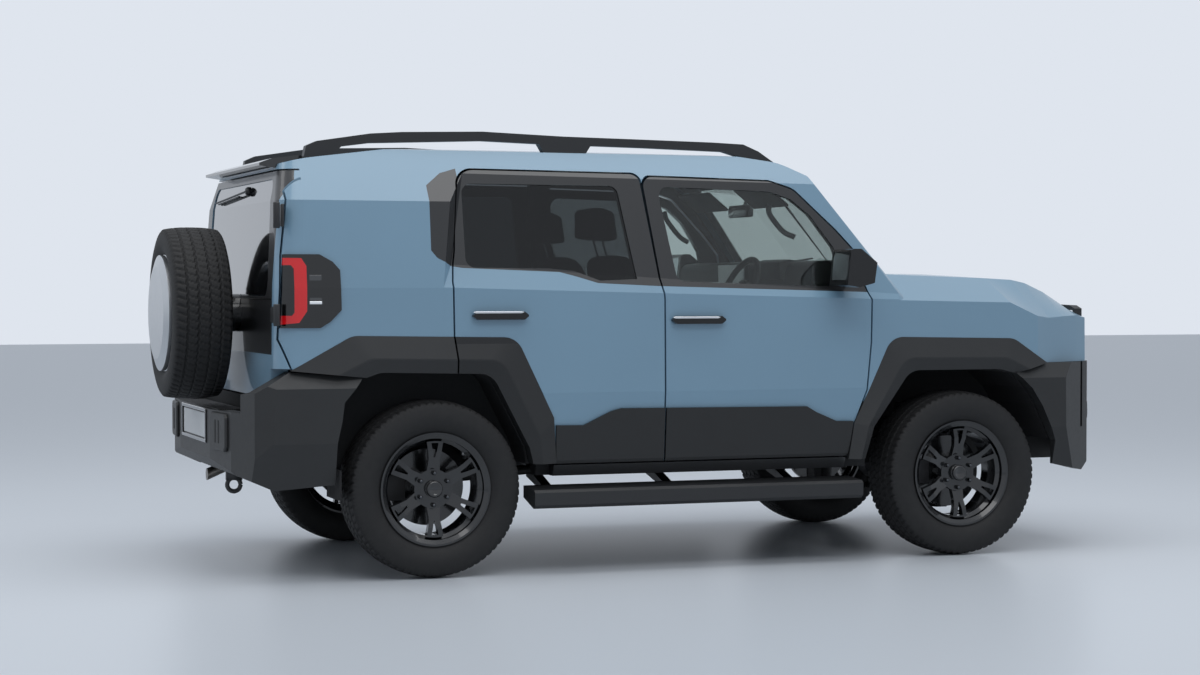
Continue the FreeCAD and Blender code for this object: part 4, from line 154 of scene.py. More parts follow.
@dataclass(frozen=True)
class Graph:
    """A material's node tree, with the patterns and masks that the finishes share.

    Attributes:
        tree: the node tree.
        shader: its Principled shader.
        place: object coordinates in metres.
    """

    tree: bpy.types.NodeTree
    shader: bpy.types.Node
    place: Socket

    def feed(self, name: str, value: Socket) -> None:
        """Links a socket to the shader's input of that name."""
        self.tree.links.new(value, self.shader.inputs[name])

    def math(self, operation: str, first: Value, second: Value = 0.5, clamp: bool = False) -> Socket:
        """Works out one value from two, or from the first alone."""
        settings = {"operation": operation, "use_clamp": clamp}
        return add_node(self.tree, "Math", settings, i0=first, i1=second).outputs[0]

    def over(self, first: Value, second: Value) -> Socket:
        """Mask that is 1 where the first value is over the second."""
        return self.math("GREATER_THAN", first, second)

    def both(self, first: Value, second: Value) -> Socket:
        """Mask that is 1 where both masks are."""
        return self.math("MULTIPLY", first, second)

    def split(self, vector: Socket) -> tuple:
        """Parts a vector into x, y and z."""
        return tuple(add_node(self.tree, "SeparateXYZ", Vector=vector).outputs)

    def facing(self) -> tuple:
        """The way a face looks, as x, y and z."""
        return self.split(add_node(self.tree, "NewGeometry").outputs["Normal"])

    def noise(self, scale: float, detail: float = 2.0) -> Socket:
        """Soft noise with so many cells per metre."""
        return add_node(self.tree, "TexNoise", Vector=self.place, Scale=scale, Detail=detail).outputs["Fac"]

    def spread(self, value: Value, low: float, high: float, start: float = 0.0, stop: float = 1.0) -> Socket:
        """Maps the range from start to stop to the one from low to high."""
        limits = {"From_Min": start, "From_Max": stop, "To_Min": low, "To_Max": high}
        return add_node(self.tree, "MapRange", Value=value, **limits).outputs["Result"]

    def shaded(self, colour: str, noise: Socket, low: float, high: float) -> Socket:
        """Colour whose brightness follows a noise between two factors."""
        shade = self.spread(noise, low, high)
        return add_node(self.tree, "HueSaturation", Color=linear(colour), Value=shade).outputs["Color"]

    def mix(self, mask: Socket, first: Value, second: Value) -> Socket:
        """The first colour where the mask is 0, the second where it is 1."""
        return add_node(self.tree, "MixRGB", Fac=mask, Color1=first, Color2=second).outputs["Color"]

    def emboss(self, pattern: Socket, height: float, strength: float) -> None:
        """Raises the surface with a pattern, by a height in metres."""
        bump = add_node(self.tree, "Bump", Height=pattern, Distance=height, Strength=strength)
        self.feed("Normal", bump.outputs["Normal"])

    def grain(self, scale: float, height: float, strength: float = 0.6) -> None:
        """Raises a cellular grain: scale in grains per metre, height in metres."""
        cells = add_node(self.tree, "TexVoronoi", Vector=self.place, Scale=scale)
        self.emboss(cells.outputs["Distance"], height, strength)

    def rings(self, centre: tuple, across: tuple, pitch: float, height: float, strength: float) -> None:
        """Raises rings round an axle.

        The distance from the axle goes through a sine, one wave for each pitch.

        Args:
            centre: a point on the axle in metres.
            across: 1 for each axis across the axle, 0 for the one along it.
            pitch: distance between rings in metres.
            height: how far they stand proud in metres.
            strength: share of that height that shows.
        """
        spot = self.place
        for operation, second in (("SUBTRACT", centre), ("MULTIPLY", across)):
            spot = add_node(self.tree, "VectorMath", {"operation": operation}, i0=spot, i1=second).outputs[0]
        reach = add_node(self.tree, "VectorMath", {"operation": "LENGTH"}, i0=spot).outputs["Value"]
        self.emboss(self.math("SINE", self.math("MULTIPLY", reach, FULL_TURN / pitch)), height, strength)

    def line(self, along: Socket, points: tuple) -> Socket:
        """Height in metres of a bent line at each x, as straight runs between its points.

        Args:
            along: the x coordinate.
            points: (x, z) pairs in rising x, no higher than 2 m.

        Returns:
            The line's height.
        """
        first, last = points[0][0], points[-1][0]
        ramp = add_node(self.tree, "ValToRGB", Fac=self.spread(along, 0.0, 1.0, first, last))
        stops = ramp.color_ramp.elements
        for index, (x, z) in enumerate(points):
            spot = (x - first) / (last - first)
            stop = stops[index] if index < 2 else stops.new(spot)
            stop.position = spot
            stop.color = (z / 2, z / 2, z / 2, 1)
        return self.math("MULTIPLY", ramp.outputs["Color"], 2.0)

    def between(self, x: Socket, z: Socket, top: tuple, low: tuple) -> Socket:
        """Mask between two bent lines, given as line takes them."""
        return self.both(self.over(self.line(x, top), z), self.over(z, self.line(x, low)))


@dataclass(frozen=True)
class Finish:
    """A surface finish; each subclass adds the nodes that its real material needs.

    Attributes:
        name: material name.
        colour: base colour as sRGB hex.
        roughness: microfacet roughness.
        metallic: 1 for bare metal.
        coat: weight of a clear coat.
        cells: how fine the gloss is uneven, in cells per metre.
        unevenness: how far the roughness goes up and down.
    """

    name: str
    colour: str
    roughness: float = 0.5
    metallic: float = 0.0
    coat: float = 0.0
    cells: float = 18.0
    unevenness: float = 0.06

    def build(self) -> bpy.types.Material:
        """Makes the material, or returns it where it exists."""
        known = bpy.data.materials.get(self.name)
        if known:
            return known
        material = bpy.data.materials.new(self.name)
        material.use_nodes = True
        tree = material.node_tree
        shader = tree.nodes["Principled BSDF"]
        values = {"Base Color": linear(self.colour), "Roughness": self.roughness, "Metallic": self.metallic,
                  "Coat Weight": self.coat, "Coat Roughness": 0.03}
        for name, value in values.items():
            shader.inputs[name].default_value = value
        self.dress(Graph(tree, shader, add_node(tree, "TexCoord").outputs["Object"]))
        return material

    def dress(self, graph: Graph) -> None:
        """Adds the finish's own pattern to the material: here a faint unevenness of its gloss."""
        self.vary(graph)

    def vary(self, graph: Graph) -> None:
        """Varies the roughness round its value with a soft noise."""
        low, high = max(self.roughness - self.unevenness, 0.01), min(self.roughness + self.unevenness, 1.0)
        graph.feed("Roughness", graph.spread(graph.noise(self.cells, 3.0), low, high))


@dataclass(frozen=True)
class BodyPaint(Finish):
    """Pale blue base coat under clear lacquer; the window band and the cabin side can take other finishes.

    Attributes:
        band, band_colour: where the gloss black window band lies, and its colour.
        lining: which faces belong to the cabin lining.
        lining_colour, lining_roughness: how the lining looks.
        guard_colour: colour of the stone guard on the sill.
    """

    cells: float = 2.2
    unevenness: float = 0.02
    band: Band = Band.NONE
    lining: Lining = Lining.NONE
    band_colour: str = "#17181a"
    lining_colour: str = "#2a2a2c"
    lining_roughness: float = 0.75
    guard_colour: str = "#1d1e20"

    def banded(self, graph: Graph, x: Socket, y: Socket, z: Socket) -> Socket:
        """Mask of the window band on a panel that has one.

        Args:
            graph: the material's nodes.
            x, y, z: object coordinates in metres.

        Returns:
            The mask.
        """
        if self.band is Band.TAILGATE:
            rear = graph.over(-0.35, graph.facing()[0])
            field_mask = graph.both(rear, graph.over(z, TAILGATE_BAND_LOW))
            return graph.both(field_mask, graph.over(TAILGATE_BAND_HALF, graph.math("ABSOLUTE", y)))
        if self.band is Band.DOOR:
            return graph.over(z, graph.line(x, BELT_LINE))
        return graph.both(graph.between(x, z, PILLAR_TOP, BELT_LINE), graph.over(x, PILLAR_REAR))

    def dress(self, graph: Graph) -> None:
        """Adds the mottle, the window band, the stone guard and the lining."""
        x, y, z = graph.split(graph.place)
        noise = graph.noise(self.cells)
        colour = graph.shaded(self.colour, noise, 0.96, 1.04)
        rough = graph.spread(noise, self.roughness - self.unevenness, self.roughness + self.unevenness)
        if self.band is not Band.NONE:
            colour = graph.mix(self.banded(graph, x, y, z), colour, linear(self.band_colour))
        if self.band is Band.PILLAR:
            colour = graph.mix(graph.over(SILL_TOP, z), colour, linear(self.guard_colour))
        if self.lining is not Lining.NONE:
            _, sideways, upward = graph.facing()
            if self.lining is Lining.WALLS:
                inside = graph.over(-0.2, graph.both(sideways, y))
            else:
                inside = graph.over(-0.4, upward)
            colour = graph.mix(inside, colour, linear(self.lining_colour))
            rough = graph.spread(inside, self.roughness, self.lining_roughness)
        graph.feed("Base Color", colour)
        graph.feed("Roughness", rough)


@dataclass(frozen=True)
class LampGlass(Finish):
    """Gloss black lamp body whose rear part is a red acrylic bar bent like a C.

    Attributes:
        bar_colour: colour of the bar.
        outer_top, outer_low: the bar's outer edge, as (x, z) in metres.
        inner_top, inner_low: its inner edge.
    """

    bar_colour: str = "#d8141b"
    outer_top: tuple = ((-1.900, 1.392), (-1.8075, 1.391), (-1.786, 1.357), (-1.7855, 1.000), (-1.600, 1.000))
    outer_low: tuple = ((-1.900, 1.108), (-1.821, 1.116), (-1.786, 1.166), (-1.7855, 1.600), (-1.600, 1.600))
    inner_top: tuple = ((-1.900, 1.361), (-1.851, 1.361), (-1.840, 1.345), (-1.8395, 1.000), (-1.600, 1.000))
    inner_low: tuple = ((-1.900, 1.146), (-1.851, 1.146), (-1.840, 1.160), (-1.8395, 1.600), (-1.600, 1.600))

    def dress(self, graph: Graph) -> None:
        """Adds the red bar and a faint mottle in the acrylic."""
        x, _, z = graph.split(graph.place)
        outer = graph.between(x, z, self.outer_top, self.outer_low)
        inner = graph.between(x, z, self.inner_top, self.inner_low)
        red = graph.shaded(self.bar_colour, graph.noise(12.0), 0.92, 1.08)
        bar = graph.math("SUBTRACT", outer, inner, True)
        graph.feed("Base Color", graph.mix(bar, linear(self.colour), red))


@dataclass(frozen=True)
class GrainedPlastic(Finish):
    """Polypropylene moulded on a grained tool: dull, with a fine pebble that breaks up highlights.

    Attributes:
        pitch: size of a grain in metres, drawn coarser than the real 0.4 mm so that it shows.
        gloss_over: height in metres above which the moulding is gloss black, for mirrors and handles.
        gloss_colour, gloss_roughness: how it looks there.
    """

    cells: float = 40.0
    unevenness: float = 0.05
    pitch: float = 0.0016
    gloss_over: float | None = None
    gloss_colour: str = "#121315"
    gloss_roughness: float = 0.12

    def dress(self, graph: Graph) -> None:
        """Adds the pebble grain, a faint mottle and the gloss upper parts."""
        graph.grain(1 / self.pitch, 0.00012)
        colour = graph.shaded(self.colour, graph.noise(9.0, 4.0), 0.88, 1.12)
        if self.gloss_over is None:
            self.vary(graph)
        else:
            gloss = graph.over(graph.split(graph.place)[2], self.gloss_over)
            colour = graph.mix(gloss, colour, linear(self.gloss_colour))
            graph.feed("Roughness", graph.spread(gloss, self.roughness, self.gloss_roughness))
        graph.feed("Base Color", colour)


@dataclass(frozen=True)
class TyreRubber(Finish):
    """Carbon black rubber: dull, a little dusty in patches, with fine moulding rings on the walls.

    Attributes:
        centre: wheel centre in metres, the pattern's origin.
        across: 1 for each axis across the axle, 0 for the one along it.
        dust_colour: colour of the dust.
    """

    cells: float = 60.0
    centre: tuple = (0.0, 0.0, 0.0)
    across: tuple = ACROSS_Y
    dust_colour: str = "#3a3937"

    def dress(self, graph: Graph) -> None:
        """Adds rings round the wheel's own axle and a dusting of grey."""
        graph.rings(self.centre, self.across, 0.006, 0.0002, 0.35)
        dust = graph.spread(graph.noise(30.0, 5.0), 0.0, 0.12, 0.45, 0.8)
        graph.feed("Base Color", graph.mix(dust, linear(self.colour), linear(self.dust_colour)))
        self.vary(graph)


@dataclass(frozen=True)
class SheetGlass(Finish):
    """Toughened glass in a body tint: clear gloss, darker the stronger its tint."""

    def dress(self, graph: Graph) -> None:
        """Lets light through and keeps a faint tint shift."""
        graph.shader.inputs["Transmission Weight"].default_value = 1.0
        graph.shader.inputs["IOR"].default_value = 1.45
        graph.feed("Base Color", graph.shaded(self.colour, graph.noise(1.5), 0.97, 1.03))


@dataclass(frozen=True)
class CastMetal(Finish):
    """Sand cast iron or forged steel with a rough skin and darker, oily patches."""

    cells: float = 25.0
    unevenness: float = 0.12

    def dress(self, graph: Graph) -> None:
        """Adds the cast skin's pits and patches."""
        graph.grain(260.0, 0.0003)
        graph.feed("Base Color", graph.shaded(self.colour, graph.noise(14.0, 6.0), 0.6, 1.3))
        self.vary(graph)


@dataclass(frozen=True)
class WovenCloth(Finish):
    """Seat cloth: two sets of threads crossing, soft and without gloss.

    Attributes:
        pitch: distance between threads in metres, drawn coarser than the real 1 mm so that it shows.
        light_colour: colour of the raised threads.
    """

    cells: float = 50.0
    unevenness: float = 0.05
    pitch: float = 0.004
    light_colour: str = "#3b3b3e"

    def dress(self, graph: Graph) -> None:
        """Adds threads one way and the other, and fluff."""
        scale = 1 / self.pitch / 6.283
        one, other = (add_node(graph.tree, "TexWave", {"bands_direction": way}, Vector=graph.place,
                               Scale=scale).outputs["Fac"] for way in ("Y", "DIAGONAL"))
        weave = graph.both(one, other)
        graph.emboss(weave, 0.0006, 0.5)
        graph.feed("Base Color", graph.mix(weave, linear(self.colour), linear(self.light_colour)))
        graph.shader.inputs["Sheen Weight"].default_value = 0.25
        self.vary(graph)


@dataclass(frozen=True)
class SpunMetal(Finish):
    """Sheet metal turned on a lathe: fine rings round its centre.

    Attributes:
        centre: middle of the rings in metres.
        pitch: distance between rings in metres, drawn coarse enough to show.
    """

    cells: float = 30.0
    unevenness: float = 0.05
    centre: tuple = (0.0, 0.0, 0.0)
    pitch: float = 0.003

    def dress(self, graph: Graph) -> None:
        """Adds rings in the plane across the vehicle."""
        graph.rings(self.centre, ACROSS_X, self.pitch, 0.0001, 0.3)
        self.vary(graph)


# Acrylic base coat under clear lacquer: even colour with a sharp reflection over it.
PANEL, PANEL_SIDE, PANEL_DOOR, PANEL_ROOF, PANEL_TAILGATE = (
    BodyPaint(f"paint_pale_blue{part}", "#7697ad", 0.36, coat=0.5, band=band, lining=lining)
    for part, band, lining in (
        ("", Band.NONE, Lining.NONE), ("_side", Band.PILLAR, Lining.WALLS),
        ("_door", Band.DOOR, Lining.WALLS), ("_roof", Band.NONE, Lining.CEILING),
        ("_tailgate", Band.TAILGATE, Lining.NONE)))
FLOOR_COAT = GrainedPlastic("stone_guard_coat", "#1d1e20", 0.8)
# Polypropylene, unpainted and grained: charcoal with a soft sheen.
CLADDING = GrainedPlastic("charcoal_polypropylene", "#232425", 0.5)
CLADDING_TRIM = GrainedPlastic("charcoal_polypropylene_and_gloss_cap", "#1c1d1e", 0.5, gloss_over=1.02)
LINER = GrainedPlastic("felted_black_liner", "#18181a", 0.85, pitch=0.003)
CABIN = GrainedPlastic("soft_touch_dash_skin", "#262628", 0.6, pitch=0.002)
# Polycarbonate and painted alloy with a wet black gloss.
GLOSS_BLACK = Finish("gloss_black_lacquer", "#101113", 0.14, coat=0.8)
WHEEL_BLACK = Finish("gloss_black_wheel_coat", "#141517", 0.2, coat=0.6)
SATIN_BLACK = Finish("satin_black_powder_coat", "#232426", 0.42)
CHASSIS = CastMetal("frame_wax_coat", "#151516", 0.55)
IRON = CastMetal("cast_iron", "#4a4a4c", 0.55, metallic=0.7)
STEEL = CastMetal("heat_stained_steel_tube", "#8a8680", 0.35, metallic=1.0)
CHROME = Finish("bright_chrome_plate", "#e6e8ea", 0.08, metallic=1.0)
SILVER = SpunMetal("spun_satin_aluminium", "#c9cccf", 0.3, metallic=1.0, centre=(-2.27, -0.06, 1.15))
CLEAR_GLASS = SheetGlass("laminated_green_glass", "#c9d2cf", 0.01)
DARK_GLASS = SheetGlass("privacy_glass", "#464b4d", 0.01)
REAR_GLASS = Finish("privacy_glass_over_black_print", "#1a1b1d", 0.05, coat=1.0)
LAMP_BODY = LampGlass("black_and_red_lamp_acrylic", "#0c0d0e", 0.16, coat=0.4)
SMOKED_LENS = Finish("smoked_acrylic_lens", "#2b2d30", 0.08, coat=1.0)
CLEAR_LENS = SheetGlass("clear_polycarbonate_lens", "#f2f5f6", 0.02)
REFLECTOR = Finish("vacuum_coated_reflector", "#cfd3d6", 0.16, metallic=1.0)
CLOTH = WovenCloth("charcoal_seat_cloth", "#1d1d20", 0.9)
# Black rubber for the valves and step ribs, and also the painted shade of the bumper slots.
SEAL_AND_SLOT_SHADE = Finish("extruded_rubber_seal", "#0e0e0f", 0.6)
CHROME_DARK = Finish("dark_chrome_plate", "#55575a", 0.22, metallic=1.0)
WHITE_BAR = Finish("milky_light_guide", "#f3f5f5", 0.25, coat=0.5)
BLANK_PLATE = Finish("bare_aluminium_sheet", "#c8cacb", 0.4, metallic=0.2)

NODE_FINISHES = {name: finish for finish, names in (
    (CHASSIS, "ladder_frame rear_axle suspension_links"), (FLOOR_COAT, "floor_pan"),
    (PANEL_SIDE, "body_side_right body_side_left"), (PANEL_ROOF, "roof_panel"), (PANEL_TAILGATE, "tailgate"),
    (PANEL, "fenders nose_panels hood"), (CLADDING, "grille front_bumper rear_bumper arch_flares"),
    (SATIN_BLACK, "roof_rails side_steps"), (GLOSS_BLACK, "rear_spoiler"), (LINER, "wheel_liners fuel_tank"),
    (CLEAR_GLASS, "windscreen"), (REAR_GLASS, "tailgate_glass"), (CLEAR_LENS, "headlamps"),
    (LAMP_BODY, "tail_lamps"), (CABIN, "dashboard steering_wheel"), (STEEL, "exhaust"),
    (IRON, "engine_block driveline knuckle_right knuckle_left steering_rack"),
    (WHEEL_BLACK, "spare_wheel"), (SILVER, "spare_cover")) for name in names.split()}
for _side in Side:
    for _end, _pane in (("front", CLEAR_GLASS), ("rear", DARK_GLASS)):
        NODE_FINISHES[f"door_{_end}_{_side.word}"] = PANEL_DOOR
        NODE_FINISHES[f"glass_{_end}_{_side.word}"] = _pane
        NODE_FINISHES[f"trim_{_end}_{_side.word}"] = CLADDING_TRIM
        NODE_FINISHES[f"wheel_{_end}_{_side.word}"] = WHEEL_BLACK


def place_object(name: str, data: bpy.types.ID) -> bpy.types.Object:
    """Makes an object and links it to the scene."""
    made = bpy.data.objects.new(name, data)
    bpy.context.scene.collection.objects.link(made)
    return made


def oriented(first: np.ndarray, along: np.ndarray, second: np.ndarray, axis: str) -> np.ndarray:
    """Puts coordinates together into places, so that one of them lies along an axis.

    Args:
        first: first coordinate across the axis.
        along: the coordinate along it.
        second: second coordinate across it.
        axis: x, y or z.

    Returns:
        Array of places in metres.
    """
    first, along, second = np.broadcast_arrays(first, along, second)
    order = {"y": (first, along, second), "x": (along, first, second), "z": (first, second, along)}
    return np.stack(order[axis], axis=-1)


def rectangle(low: float, high: float, bottom: float, top: float) -> tuple:
    """Outline of a rectangle from its four limits."""
    return (low, bottom), (high, bottom), (high, top), (low, top)


def smooth_path(points: np.ndarray, samples: int) -> np.ndarray:
    """Catmull-Rom curve: each run is the cubic whose slopes at its ends are half the chord of its neighbours.

    Args:
        points: control points, which the curve goes through.
        samples: points on the result.

    Returns:
        Array of points along the curve.
    """
    if len(points) < 3:
        share = np.linspace(0, 1, samples)[:, None]
        return points[0] * (1 - share) + points[-1] * share
    padded = np.vstack([2 * points[0] - points[1], points, 2 * points[-1] - points[-2]])
    place = np.linspace(0, len(points) - 1 - 1e-9, samples)
    run = place.astype(int)
    t = (place - run)[:, None]
    p0, p1, p2, p3 = (padded[run + k] for k in range(4))
    return 0.5 * (2 * p1 + (p2 - p0) * t + (2 * p0 - 5 * p1 + 4 * p2 - p3) * t ** 2
                  + (3 * p1 - 3 * p2 + p3 - p0) * t ** 3)


def rounded_outline(points: np.ndarray, samples: int, softness: int = 5) -> np.ndarray:
    """Spreads points evenly along a closed outline and rounds its corners by averaging neighbours.

    Args:
        points: corners of the outline.
        samples: points on the result.
        softness: how often neighbours are averaged.

    Returns:
        Array of points.
    """
    closed = np.vstack([points, points[:1]])
    run = np.concatenate([[0], np.cumsum(np.linalg.norm(np.diff(closed, axis=0), axis=1))])
    place = np.linspace(0, run[-1], samples, endpoint=False)
    ring = np.stack([np.interp(place, run, closed[:, k]) for k in (0, 1)], axis=1)
    for _ in range(softness):
        ring = (np.roll(ring, 1, axis=0) + 2 * ring + np.roll(ring, -1, axis=0)) / 4
    return ring


def outline(shares: tuple) -> tuple:
    """Places from stations, 0 at the rear axle and 1 at the front one, and shares of the overall height."""
    return tuple((WHEEL_STATIONS["rear"] + WHEELBASE * x, HEIGHT * z) for x, z in shares)


@dataclass(frozen=True)
class Face:
    """The outer face of a CAD node, seen along an axis.

    Attributes:
        node: CAD node.
        axis: x for the front and rear faces, y for the sides.
        sign: the side from which it is seen.
    """

    node: str
    axis: str
    sign: int

    @property
    def way(self) -> np.ndarray:
        """Unit vector into the face."""
        return np.array((-self.sign, 0, 0) if self.axis == "x" else (0, -self.sign, 0), float)

    def places(self, flat: Points) -> np.ndarray:
        """Where straight lines along the axis first meet the face.

        Args:
            flat: (x, z) points on a side, or (y, z) points on the front or rear.

        Returns:
            Array of places in metres; a line that misses gets the middle depth of the others.
        """
        column = "xy".index(self.axis)
        found, missed = [], []
        for pair in flat:
            start = np.insert(np.array(pair, float), column, FAR * self.sign)
            hit, place, _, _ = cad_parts[self.node].ray_cast(start, self.way)
            found.append(place if hit else start)
            missed.append(not hit)
        found, missed = np.array(found, float), np.array(missed)
        if missed.any():
            found[missed, column] = np.median(found[~missed, column])
        return found


@dataclass
class Piece:
    """A mesh to be made: points, faces, and what it rides on.

    Attributes:
        name: object name.
        finish: its finish.
        body: CAD body that carries it.
        slot: the record's material slot; not used.
        smooth: shades the faces smooth.
        bevel: width of a rounded edge in metres, or 0.
        bevel_from: angle in degrees from which an edge is rounded.
    """

    name: str
    finish: Finish
    body: str = "chassis"
    slot: str = "dark_trim"
    smooth: bool = True
    bevel: float = 0.0
    bevel_from: float = 35.0
    points: list = field(default_factory=list)
    faces: list = field(default_factory=list)

    def surface(self, grid: np.ndarray, closed: bool = False) -> "Piece":
        """Adds a skin over a grid of points whose rows are rings.

        Args:
            grid: array of rings, points in a ring, and three coordinates in metres.
            closed: joins the last ring to the first; else a face closes each end.

        Returns:
            The piece, for chaining.
        """
        rings, count = grid.shape[:2]
        ring = np.arange(rings if closed else rings - 1)
        r, c = (a.ravel() for a in np.meshgrid(ring, np.arange(count), indexing="ij"))
        down, right = (r + 1) % rings * count, (c + 1) % count
        faces = np.stack([r * count + c, r * count + right, down + right, down + c], axis=1).tolist()
        if not closed:
            faces += [list(range(count))[::-1], [(rings - 1) * count + i for i in range(count)]]
        start = sum(len(patch) for patch in self.points)
        self.points.append(grid.reshape(-1, 3))
        self.faces += [[number + start for number in face] for face in faces]
        return self

    def prism(self, flat: Points, start: float, end: float, axis: str = "y") -> "Piece":
        """Adds an outline carried straight along an axis: (x, z) pairs along y, or (y, z) pairs along x."""
        first, second = np.array(flat, float).T
        return self.surface(oriented(first, np.array([[start], [end]], float), second, axis))

    def turned(self, profile: Points, centre: Points, axis: str = "y", segments: int = 48) -> "Piece":
        """Adds a profile turned about an axis: each point goes round at its own radius and offset.

        Args:
            profile: (radius, offset) pairs from one end to the other.
            centre: a point on the axis.
            axis: x, y or z.
            segments: points round the axis.

        Returns:
            The piece.
        """
        radius, offset = np.array(profile, float).T[:, :, None]
        turn = np.linspace(0, FULL_TURN, segments, endpoint=False)
        return self.surface(oriented(radius * np.cos(turn), offset, radius * np.sin(turn), axis) + centre)

    def tube(self, path: Points, radius: float, flat: float = 1.0, samples: int = 40,
             segments: int = 16) -> "Piece":
        """Adds a round or flattened bar along a smooth path.

        The path is a Catmull-Rom curve through its points. At each step the section is a circle in the plane
        across the path, narrowed by flat in its second direction.

        Args:
            path: points in metres.
            radius: half the bar's width.
            flat: width in the second direction as a share of the first.
            samples: steps along the path.
            segments: points round the section.

        Returns:
            The piece.
        """
        way = smooth_path(np.array(path, float), samples)
        ahead = np.gradient(way, axis=0)
        ahead /= np.linalg.norm(ahead, axis=1, keepdims=True)
        guide = np.array([0.0, 1.0, 0.0]) if abs(ahead[:, 1]).max() < 0.9 else np.array([0.0, 0.0, 1.0])
        one = np.cross(ahead, guide)
        one /= np.linalg.norm(one, axis=1, keepdims=True)
        two = np.cross(ahead, one)
        turn = np.linspace(0, FULL_TURN, segments, endpoint=False)[None, :, None]
        ring = np.cos(turn) * one[:, None] + flat * np.sin(turn) * two[:, None]
        return self.surface(way[:, None] + radius * ring)

    def laid(self, face: Face, flat: Points, lift: float, depth: float) -> "Piece":
        """Adds a plate that follows a CAD face: lift metres stand proud of it, depth metres reach into it."""
        spots = face.places(flat)
        return self.surface(np.stack([spots + face.way * depth, spots - face.way * lift]))

    def make(self) -> bpy.types.Object:
        """Turns the patches into a Blender object, dressed and riding on its body.

        Returns:
            The object.
        """
        mesh = bpy.data.meshes.new(self.name)
        mesh.from_pydata(np.concatenate(self.points), [], self.faces)
        work = bmesh.new()
        work.from_mesh(mesh)
        bmesh.ops.recalc_face_normals(work, faces=work.faces)
        work.to_mesh(mesh)
        work.free()
        mesh.polygons.foreach_set("use_smooth", np.full(len(mesh.polygons), self.smooth))
        mesh.materials.append(self.finish.build())
        piece = place_object(self.name, mesh)
        if self.bevel:
            edge = piece.modifiers.new("rounded_edges", "BEVEL")
            edge.width, edge.segments, edge.limit_method = self.bevel, 2, "ANGLE"
            edge.angle_limit = math.radians(self.bevel_from)
        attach(piece, self.body)
        LOG.info("%s: %d faces on %s", self.name, len(mesh.polygons), self.body)
        return piece


@dataclass
class Tyre:
    """A road tyre with a tread; it replaces the plain CAD ring.

    Widths are shares of half the tyre's width, radii are in metres.

    Attributes:
        node: CAD node it stands for.
        body: body that carries it.
        centre: wheel centre in metres.
        outside: +1 or -1, the way its outer wall faces along its axle.
        axle: x for the spare wheel, y for the others.
        crown_end, crown_drop: where the tread ends and how much lower it is there.
        lanes, lane_width, waver: where the grooves run, how wide, how far they swing.
        pitches: tread blocks round the tyre.
    """

    node: str
    body: str
    centre: tuple
    outside: int
    axle: str = "y"
    half_width: float = 0.1325
    bead: float = 0.2312
    groove_depth: float = 0.008
    tread_height: float = 0.030
    around: int = 420
    crown_end: float = 0.88
    crown_drop: float = 0.0095
    lanes: tuple = (-0.56, -0.20, 0.20, 0.56)
    lane_width: float = 0.022
    pitches: int = 70
    waver: float = 0.02

    def section(self) -> np.ndarray:
        """The closed section as (offset, radius) points: wall, tread, wall, and back inside.

        Returns:
            Array of offset and radius in metres.
        """
        tread = np.linspace(-self.crown_end, self.crown_end, 89)
        crown = RADIUS - self.crown_drop * np.abs(tread / self.crown_end) ** 2.6
        outer = np.stack([tread * self.half_width, crown], axis=1)
        size, bead = (self.half_width, 1.0), (0.0, self.bead)
        wall = size * np.array([(0.748, 0), (0.752, 0.018), (0.86, 0.030), (0.955, 0.052), (1.0, 0.078),
                                (0.994, 0.100), (0.965, 0.122), (0.93, 0.138)]) + bead
        inner = size * np.array([(0.80, 0.125), (0.88, 0.08), (0.74, 0.03), (0.66, 0)]) + bead
        flip = np.array([-1, 1])
        return np.vstack([wall * flip, outer, wall[::-1], inner[::-1], inner * flip])

    def grooves(self, turn: np.ndarray, offset: np.ndarray, radius: np.ndarray) -> np.ndarray:
        """Depth of the tread pattern.

        Four grooves run round the tyre and waver a little; blocks between them are parted by slits that
        lean one way, and the shoulders have wider cuts.

        Args:
            turn: angle round the wheel.
            offset: distance from the tyre's middle.
            radius: radius of the smooth tread.

        Returns:
            Depth in metres, same shape as the grid.
        """
        s = offset / self.half_width
        bent = s + self.waver * np.sin(turn * self.pitches)
        depth = np.zeros(np.broadcast(turn, offset).shape)
        for lane in self.lanes:
            depth = np.maximum(depth, np.clip(1.6 - np.abs(bent - lane) / self.lane_width, 0, 1))
        lean = s * 1.4 + np.floor((s + 1) * 2.6) * 0.37
        slit = np.abs((turn * self.pitches / FULL_TURN + lean) % 1 - 0.5)
        depth = np.maximum(depth, 0.75 * np.clip(1.5 - slit / 0.075, 0, 1) * (np.abs(s) < 0.9))
        tread = radius > RADIUS - self.tread_height
        depth = np.maximum(depth, np.clip(1.6 - slit / 0.11, 0, 1) * ((np.abs(s) > 0.66) & tread))
        return self.groove_depth * depth * tread

    def build(self) -> bpy.types.Object:
        """Makes the tyre: the section goes round the axle and the grooves sink into it."""
        section = self.section()
        turn = np.linspace(0, FULL_TURN, self.around, endpoint=False)[:, None]
        offset, radius = section[None, :, 0], section[None, :, 1]
        reach = radius - self.grooves(turn, offset, radius)
        grid = oriented(reach * np.cos(turn), offset * self.outside, reach * np.sin(turn), self.axle)
        rubber = TyreRubber(f"tyre_rubber_{self.node}", "#161617", 0.72, centre=self.centre,
                            across=ACROSS_X if self.axle == "x" else ACROSS_Y)
        piece = Piece(f"tread_{self.node}", rubber, self.body, "tyre_rubber")
        made = piece.surface(grid + np.array(self.centre), closed=True).make()
        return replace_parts(made, self.node)


